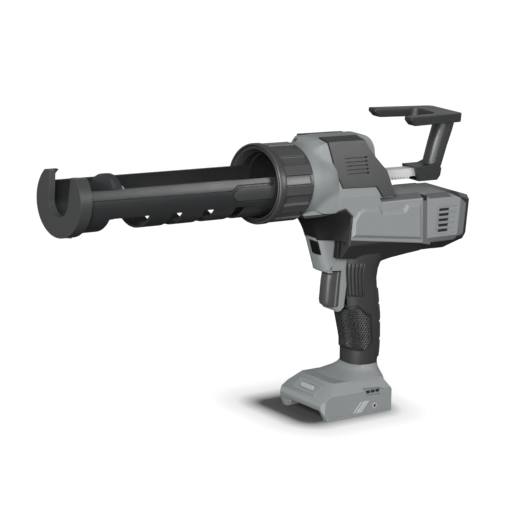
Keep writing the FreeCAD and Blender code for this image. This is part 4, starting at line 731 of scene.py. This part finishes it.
foot = slab(foot_outline, -foot_half, foot_half)
slope_sides(foot, (23, foot_top), (foot_half, 24.2))
shave_flanks(foot, *front_corner)
shave_flanks(foot, *slope_corner)
cuts = [block(*channel)]
for side in (1, -1):
    cuts.append(slab(vent_pocket, *flank(side, *pocket_depth)))
    cuts.append(flank_block(side, *foot_groove))
grey_moulding("foot", carve(foot, *cuts), edge=0.8)
grey_moulding("foot_flare", loft([oval(*station) for station in flare_stations]), edge=0, crease=60)
for side, mark in SIDES:
    grey_moulding(f"{mark}_ledge", flank_block(side, *ledge), edge=0.4)
    for name, front, width, rise, edge in (("wide", 4.4, 7, 31.5, 0.35), ("thin", 8.4, 2.2, 30.9, 0.25)):
        bar = slab([(front, bar_low), (front - width, bar_low), (front - width - bar_lean, bar_high),
                    (front - bar_lean, bar_high)], *flank(side, bar_root, rise))
        finish(f"{mark}_{name}_bar", bar, pale_grey, "housing", edge)
    ring = carve(pin(ring_radius, hole_x, flank(side, 30, 31), hole_z),
                 pin(ring_bore, hole_x, flank(side, 28, 33), hole_z))
    finish(f"{mark}_hole_ring", ring, pale_grey, "housing", edge=0.25)
    # Near-black disc in the hole: painted shade.
    painted_shade_sheet(f"{mark}_hole", pin(hole_radius, hole_x, flank(side, 29.6, 30.65), hole_z))
    for number in range(slit_count):
        x = slit_start + slit_pitch * number
        slit_outline = [(x - 1.4, slit_low), (x + 3.2, slit_low), (x + 4.2, slit_high), (x - 0.4, slit_high)]
        # Near-black sheet in each vent slit: painted shade.
        painted_shade_sheet(f"{mark}_vent_slit_{number + 1}", slab(slit_outline, *flank(side, *slit_depth)))

# Work lamp: a pad on the foot's slope with a pill of frosted polycarbonate set in it.
# It lights the bead in front of the tool.
lamp_centre = Vector((40.2, 0, 26.13))
slope_down = Vector((0.76, 0, -0.65))
slope_out = Vector((0.65, 0, 0.76))
pad_size, pocket_size, pill_size = (7, 16, 1.6), (3.2, 9.9, 3.1), (2.4, 9.1, 2.35)


def rounded(half_long, half_wide, radius):
    """Rectangle with round corners."""
    corners = ((1, 1, 0), (-1, 1, 90), (-1, -1, 180), (1, -1, 270))
    return [point for a, b, start in corners for point in arc(
        (a * (half_long - radius), b * (half_wide - radius)), radius, start, start + 90, 6)]


def placing(origin, *axes):
    """Matrix that lays the three axes along others and moves them to an origin."""
    return Matrix.Translation(origin) @ Matrix(axes).transposed().to_4x4()


def on_slope(size, low, high):
    """Rounded slab laid on the foot's front slope, between two levels above it."""
    bm = slab(rounded(*size), low, high, "XY")
    bmesh.ops.transform(bm, matrix=placing(lamp_centre, slope_down, (0, 1, 0), slope_out), verts=bm.verts)
    return bm


def colour_ramp(tree, factor, *stops):
    """Colour socket of a ramp through pairs of a place and a colour."""
    ramp = add_node(tree, "ShaderNodeValToRGB", {"Fac": factor})
    elements = ramp.color_ramp.elements
    for element, (place, colour) in zip(elements, (stops[0], stops[-1])):
        element.position = place
        element.color = (*colour, 1)
    for place, colour in stops[1:-1]:
        elements.new(place).color = (*colour, 1)
    return ramp.outputs["Color"]


lens, lens_tree, lens_shader = new_material("lamp_lens_frosted")
lens_place = lens_tree.nodes.new("ShaderNodeTexCoord").outputs["Object"]
frost = add_node(lens_tree, "ShaderNodeTexNoise", {"Vector": lens_place, "Scale": 300}).outputs["Fac"]
frost_colour = colour_ramp(lens_tree, frost, (0, (0.28, 0.3, 0.31)), (1, (0.4, 0.42, 0.43)))
feed(lens_tree, lens_shader, {"Base Color": frost_colour, "Roughness": 0.12})
grey_moulding("lamp_pad", carve(on_slope(pad_size, -2, 1.4), on_slope(pocket_size, 0.4, 4)), edge=0.5,
              stands_for=("lamp_bezel",), crease=30)
finish("lamp_pill", on_slope(pill_size, -1, 1.8), lens, "housing", edge=0.7,
       stands_for=("lamp_lens",), crease=30)

# Collar nut: a fluted black ring that screws over the nose and clamps the carriage's flange.
# Moulded nylon with twelve lands between shallow flutes, a rounded front flange and a stepped mouth.
flute_count = 12
flute_shape = ((-7, 35.5), (7, 35.5), (8.4, 34), (15, 33.3), (21.6, 34))
collar_bore, collar_ends = 32.6, (90.6, 125)
rear_ring_profile = [(88.6, 33.2), (88.6, 33.6), (89.2, 34.2), (92.2, 34.2), (92.2, 33.2)]
flange_profile = [(121.6, 32.7), (121.6, 34.6), (122.4, 35.7), (123.6, 36), (128.4, 36), (129.4, 35.7),
                  (130, 35), (129.9, 34.4), (129.2, 34.1), (126.4, 33.9), (126.2, 32.7), (129, 32.5),
                  (129.5, 32), (129.3, 31.3), (128.4, 30.6), (121.6, 30.4)]
# Two lighter copies of the black plastic: painted light on the collar, its rings, the bare plates and the end
# cap.
painted_light_black = moulded("black_plastic_painted_light", (0.044, 0.045, 0.046), 0.33)
painted_light_collar_black = moulded("black_plastic_painted_light_collar", (0.055, 0.056, 0.057), 0.28)


def spun(profile):
    """Ring turned about the barrel axis from a closed profile of x and radius."""
    bm = bmesh.new()
    closed_loop(bm, [(x, 0, AXIS_Z + radius) for x, radius in profile])
    bmesh.ops.spin(bm, geom=bm.verts[:] + bm.edges[:], cent=(0, 0, AXIS_Z), axis=(1, 0, 0),
                   angle=2 * math.pi, steps=96, use_merge=True)
    bmesh.ops.remove_doubles(bm, verts=bm.verts, dist=0.001)
    bmesh.ops.recalc_face_normals(bm, faces=bm.faces)
    return bm


flute_points = []
for flute in range(flute_count):
    for degrees, radius in flute_shape:
        turn = math.radians(360 / flute_count * flute + degrees)
        flute_points.append((radius * math.cos(turn), AXIS_Z + radius * math.sin(turn)))
barrel = carve(slab(flute_points, *collar_ends, "YZ"), disc(collar_bore, (88, 128)))
finish("collar_barrel", barrel, painted_light_collar_black, "collar", edge=0.5, stands_for=("collar_nut",),
       crease=20)
finish("collar_rear_ring", spun(rear_ring_profile), painted_light_black, "collar", edge=0,
       crease=40)
finish("collar_flange", spun(flange_profile), painted_light_black, "collar", edge=0, crease=50)

# Carriage: a half-open nylon tube that holds the cartridge, with windows across its underside.
# A groove marks off its lips, and a bare plate stands out beside the collar.
tube_outer, tube_inner, tube_ends, lip_rise = 28.2, 26, (112, 334), 11.5
plate_outer, plate_inner, seat_inner, groove_floor = 28.9, 27.4, 27.5, 27
plate_way, beyond = (120, 190), 40
windows, window_top = ((262.5, 43), (227.4, 12.3), (192.7, 12.3), (158, 12.3)), AXIS_Z - 12.8
groove = [(130, 232.1), (172, 232.1), (178.7, 227.7), (327, 228.9), (327, 229.7), (179, 228.5),
          (172.3, 232.9), (130, 232.9)]
plate_seat = [(130, 217.4), (171.6, 217.4), (176.6, 221.4), (176.6, 227.2), (171.6, 231.6), (130, 231.6)]
plate_outline = [(131, 218.6), (171, 218.6), (175.4, 222), (175.4, 226.6), (171, 230.4), (131, 230.4)]


def trough(outer, inner, rise, ends):
    """Half-open tube along X from its radii and the height of its two lips above the axis."""
    outside, inside = (math.degrees(math.asin(rise / radius)) for radius in (outer, inner))
    points = arc((0, AXIS_Z), outer, 180 - outside, 360 + outside, 48)
    points += arc((0, AXIS_Z), inner, inside, -180 - inside, 48)
    return slab(points, *ends, "YZ")


cuts = [block((start, start + length), (-beyond, beyond), (150, window_top)) for start, length in windows]
for side, mark in SIDES:
    cuts.append(slab(groove, *flank(side, groove_floor, beyond)))
    cuts.append(carve(slab(plate_seat, *flank(side, 20, beyond)), disc(seat_inner, plate_way)))
    plate = carve(slab(plate_outline, *flank(side, 22, 31)), disc(plate_inner, plate_way),
                  spun([(125, plate_outer), (185, plate_outer), (185, beyond), (125, beyond)]))
    finish(f"{mark}_bare_plate", plate, painted_light_black, "carriage", edge=0.25, crease=30)
tube = carve(trough(tube_outer, tube_inner, lip_rise, tube_ends), *cuts)
black_moulding("carriage_trough", tube, "carriage", edge=0.4, stands_for=("carriage_tube",), crease=30)

# End cap: a black cup on the carriage's mouth with a slot that the cartridge's nozzle drops into.
# Its two horns rise above the axis, and a small tab that locks it sits underneath.
cap_radius, cap_ends, mouth_radius, mouth_half_top, mouth_ends = 31, (328.5, 340), 13.5, 15.6, (330, 345)
cut_top, horn_tip = AXIS_Z + beyond, AXIS_Z + 22
mouth_outline = [(-mouth_radius, AXIS_Z), (mouth_radius, AXIS_Z), (mouth_half_top, cut_top),
                 (-mouth_half_top, cut_top)]
tab_outline = [(318, 196.9), (327.4, 196.9), (329, 195.6), (329, 194.8), (321, 194.8)]
cap = carve(disc(cap_radius, cap_ends, steps=96), disc(tube_outer, (320, tube_ends[1])),
            disc(mouth_radius, mouth_ends), slab(mouth_outline, *mouth_ends, "YZ"),
            block((320, 345), (-beyond, beyond), (horn_tip, cut_top)))
# The cap is in the lighter black: painted light.
finish("muzzle_cap", cap, painted_light_black, "carriage", edge=1.0, stands_for=("end_cap",),
       crease=30)
black_moulding("cap_tab", slab(tab_outline, -4, 4), "carriage", edge=0.4)

# Rod: a bright zinc plated rack that the drive pinion pushes, with the plunger on its front end.
# The plunger is a black disc, held by a steel nut and screw.
plunger_profile = [(287.5, 0.01), (287.5, 18.6), (288.2, 19.4), (289.6, 19.5), (295, 19.5), (296.6, 18.8),
                   (297, 17.6), (297, 0.01)]


def metal(name, colour, gloss, bare=1.0):
    """Metal with a drawn grain along X, bare or under a dull coat."""
    material, tree, shader = new_material(name)
    place = tree.nodes.new("ShaderNodeTexCoord").outputs["Object"]
    stretch = add_node(tree, "ShaderNodeMapping", {"Vector": place, "Scale": (30, 1500, 1500)})
    drawn = {"Vector": stretch.outputs["Vector"], "Scale": 1.0, "Detail": 3}
    lines = add_node(tree, "ShaderNodeTexNoise", drawn).outputs["Fac"]
    tone = colour_ramp(tree, lines, (0, [level * 0.75 for level in colour]), (1, colour))
    rough = maths(tree, "MULTIPLY_ADD", lines, 0.2, gloss - 0.1)
    feed(tree, shader, {"Base Color": tone, "Roughness": rough, "Metallic": bare})
    return material


steel = metal("zinc_plated_steel", (0.86, 0.86, 0.87), 0.35, bare=0.4)
black_moulding("plunger_disc", spun(plunger_profile), "rod", edge=0, stands_for=("plunger",), crease=35)

# Pull handle: a black moulding pinned to the rack's rear end, to draw the rod back by hand.
# A leaning stem rises from a socket that wraps the rack, and carries a fork with splayed prongs.
fork_low, fork_high, prong_end = 274.4, 282.8, -31
stem_stations = ((-105.4, 276, 10.5, 9.9, 4), (-103.4, 266, 10.2, 9.8, 12), (-98.8, 250, 9.9, 9.4, 14),
                 (-95, 234, 9.8, 9.0, 14), (-92.4, 223, 8.6, 8.8, 14), (-90.6, 218.4, 5.6, 7.6, 14))
fork_notch = ((-112, -105.6), (-30, 30), (277.2, 280.8))
prong_bevel = ((prong_end, 0, fork_low + 5), (0.64, 0, -0.77))
socket_half = 9.7
socket_outline = [(-63.2, 231), (-84, 231), (-92, 233.5), (-98.6, 228), (-98, 221), (-94.4, 216.6),
                  (-69.4, 216.6)]
socket_bore = ((-94, -50), (-6, 6), (217.9, 230))


def stem_ring(x, z, front, half, lean):
    """Section of the leaning stem: round in front and flat behind."""
    c, s = math.cos(math.radians(lean)), math.sin(math.radians(lean))
    bow = [(front * along, half * across) for along, across in arc((0, 0), 1, -75, 75, 10)]
    section = [(-0.62 * front, -half * 0.72), (-0.42 * front, -half), *bow, (-0.42 * front, half),
               (-0.62 * front, half * 0.72)]
    return [(x + along * c, across, z + along * s) for along, across in section]


fork_near = [(-108, 19), (-104, 22.5), (prong_end, 29), (prong_end, 19), *arc((-71, 7), 8, 95, 175, 4)]
fork = slab(fork_near + [(x, -y) for x, y in reversed(fork_near)], fork_low, fork_high, "XY")
shave(fork, *prong_bevel)
fork = carve(fork, block(*fork_notch))
black_moulding("fork", fork, "rod", edge=1.7, stands_for=("pull_handle",))
stem = loft([stem_ring(*station) for station in stem_stations])
black_moulding("pull_stem", stem, "rod", edge=0.9, crease=35)
socket = carve(slab(socket_outline, -socket_half, socket_half), block(*socket_bore))
black_moulding("pull_socket", socket, "rod", edge=1.0)

# Inner works and small fittings: the CAD's own gears, shafts, motor parts, boards and screws.
# They are steel, cast alloy, sintered bronze, copper windings and filled nylon.
dark_steel = metal("oiled_gear_steel", (0.35, 0.35, 0.36), 0.35)
alloy = metal("die_cast_alloy", (0.5, 0.51, 0.52), 0.45)
# Near-black alloy: painted shade on the gear frame, whose cup shows deep in the bore.
painted_shade_alloy = metal("alloy_painted_shade", (0.02, 0.02, 0.021), 0.6, bare=0.3)
bronze = metal("sintered_bronze", (0.5, 0.33, 0.16), 0.45)
brass = metal("tinned_brass", (0.72, 0.55, 0.3), 0.3)
copper_core = metal("wound_core", (0.3, 0.19, 0.12), 0.5)
inner_plastic = moulded("filled_nylon", (0.06, 0.06, 0.065), 0.5)
board_green = moulded("circuit_board", (0.02, 0.1, 0.045), 0.4, mottle=0.2, grain=400.0)
fittings = {
    steel: ("rack_rod", "plunger_nut", "plunger_screw", "handle_pin", "trigger_spring", "motor_can",
            "rotor_bearings"),
    dark_steel: ("cap_rivets", "ring_gear", "shell_screws", "drive_shaft", "drive_pinion", "drive_wheel",
                 "clutch_pinion", "clutch_dog", "cross_shaft", "bevel_wheel", "bevel_pinion",
                 "planet_carrier", "planet_gear_1", "planet_gear_2", "planet_gear_3", "sun_pinion",
                 "rotor_shaft"),
    # The carriage flange sits deep in the bore and is near-black as painted shade.
    painted_shade_black: ("carriage_flange",),
    board_green: ("lamp_board", "control_board"),
    inner_plastic: ("terminal_block", "switch_module", "rack_backer", "fan"),
    brass: ("terminal_blades",),
    alloy: ("heat_sink", "motor_plate"),
    # The gear frame is darkened as painted shade where it shows deep in the bore.
    painted_shade_alloy: ("gear_frame",),
    copper_core: ("stator", "rotor_core"),
    bronze: ("drive_bushes", "cross_bushes", "carrier_bush"),
}
for material, names in fittings.items():
    for name in names:
        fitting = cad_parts[name]
        fitting.data.materials.clear()
        fitting.data.materials.append(material)

# Stage: a plain white floor that glows, with a painted shadow round the foot in its material, and three soft
# lamps.
# The sky is grey with a bright panel in front, and the camera is the photograph's. Sizes are metres.
floor_half = 12
shadow_centre, shadow_half = (0.01, -0.012, 0), (0.038, 0.024, 0)
shadow_steps = ((0, 0), (0.012, 0.01), (0.02, 0.3), (0.035, 0.75), (0.06, 0.93), (0.2, 1))
sky_steps, zenith = ((0.4, 0.06), (0.5, 0.5), (0.6, 0.55), (0.68, 0.25)), (0.8, (0.2, 0.2, 0.21))
panel_way, panel_steps, sky_strength = (0.68, 0.73, 0.0), ((0.8, 0), (0.95, 4.2)), 0.84
lens_pixels, picture_pixels, sensor_width = 1979.77, 512, 36
eye = Vector((1.268757, 1.277522, 0.566093))
right = Vector((-0.7541, 0.6511, 0.0853))
up = Vector((-0.0884, -0.2293, 0.9693))
ahead = Vector((-0.6507, -0.7235, -0.2305))


def greys(steps):
    """Ramp stops in grey from pairs of a place and a level."""
    return [(place, (level, level, level)) for place, level in steps]


def softbox(name, place, target, size, power):
    """Large soft lamp that points at the tool."""
    lamp = bpy.data.lights.new(name, "AREA")
    lamp.shape = "RECTANGLE"
    lamp.size, lamp.size_y = size
    lamp.energy = power
    piece = add_object(name, lamp)
    piece.location = place
    piece.rotation_euler = (Vector(target) - Vector(place)).to_track_quat("-Z", "Y").to_euler()


floor_mesh = bpy.data.meshes.new("floor")
floor_bm = bmesh.new()
bmesh.ops.create_grid(floor_bm, x_segments=1, y_segments=1, size=floor_half)
floor_bm.to_mesh(floor_mesh)
floor_bm.free()
floor = add_object("floor", floor_mesh)
white, white_tree, white_shader = new_material("studio_white")
# The floor's glow fades to black round the foot: a painted shadow, darkest inside the footprint.
away = white_tree.nodes.new("ShaderNodeTexCoord").outputs["Object"]
for operation, value in (("SUBTRACT", shadow_centre), ("ABSOLUTE", None), ("SUBTRACT", shadow_half),
                         ("MAXIMUM", (0, 0, 0))):
    inputs = {0: away, 1: value} if value else {0: away}
    away = add_node(white_tree, "ShaderNodeVectorMath", inputs, operation).outputs["Vector"]
distance = add_node(white_tree, "ShaderNodeVectorMath", {0: away}, "LENGTH").outputs["Value"]
glow_with_painted_shadow = colour_ramp(white_tree, distance, *greys(shadow_steps))
feed(white_tree, white_shader, {"Base Color": (0.08, 0.08, 0.08, 1), "Roughness": 0.9,
                                "Emission Color": glow_with_painted_shadow, "Emission Strength": 1.0})
floor_mesh.materials.append(white)
floor.visible_diffuse = False
floor.visible_glossy = False

world = bpy.data.worlds.new("studio")
world.use_nodes = True
sky = world.node_tree
gaze = sky.nodes.new("ShaderNodeTexCoord").outputs["Generated"]
gaze_z = add_node(sky, "ShaderNodeSeparateXYZ", {"Vector": gaze}).outputs["Z"]
height = add_node(sky, "ShaderNodeMapRange", {"Value": gaze_z, "From Min": -1.0}).outputs["Result"]
facing = add_node(sky, "ShaderNodeVectorMath", {0: gaze, 1: panel_way}, "DOT_PRODUCT").outputs["Value"]
sky_colour = colour_ramp(sky, height, *greys(sky_steps), zenith)
panel_colour = colour_ramp(sky, facing, *greys(panel_steps))
glow = add_node(sky, "ShaderNodeVectorMath", {0: sky_colour, 1: panel_colour}, "ADD").outputs["Vector"]
feed(sky, sky.nodes["Background"], {"Color": glow, "Strength": sky_strength})
bpy.context.scene.world = world

softbox("key", (1.5, 0.9, 0.9), (0.05, 0, 0.15), (0.6, 0.6), 28)
softbox("side", (-0.46, 0.68, 0.46), (0.0, 0, 0.22), (0.3, 0.3), 2.2)
softbox("overhead", (0.1, 0.4, 1.6), (0.0, 0, 0.2), (0.5, 1.2), 1.5)

camera_data = bpy.data.cameras.new("photo_camera")
camera_data.sensor_width = sensor_width
camera_data.lens = lens_pixels / picture_pixels * sensor_width
camera = add_object("photo_camera", camera_data)
camera.matrix_world = placing(eye, right, up, -ahead)
bpy.context.scene.camera = camera
bpy.context.scene.view_settings.view_transform = "Standard"
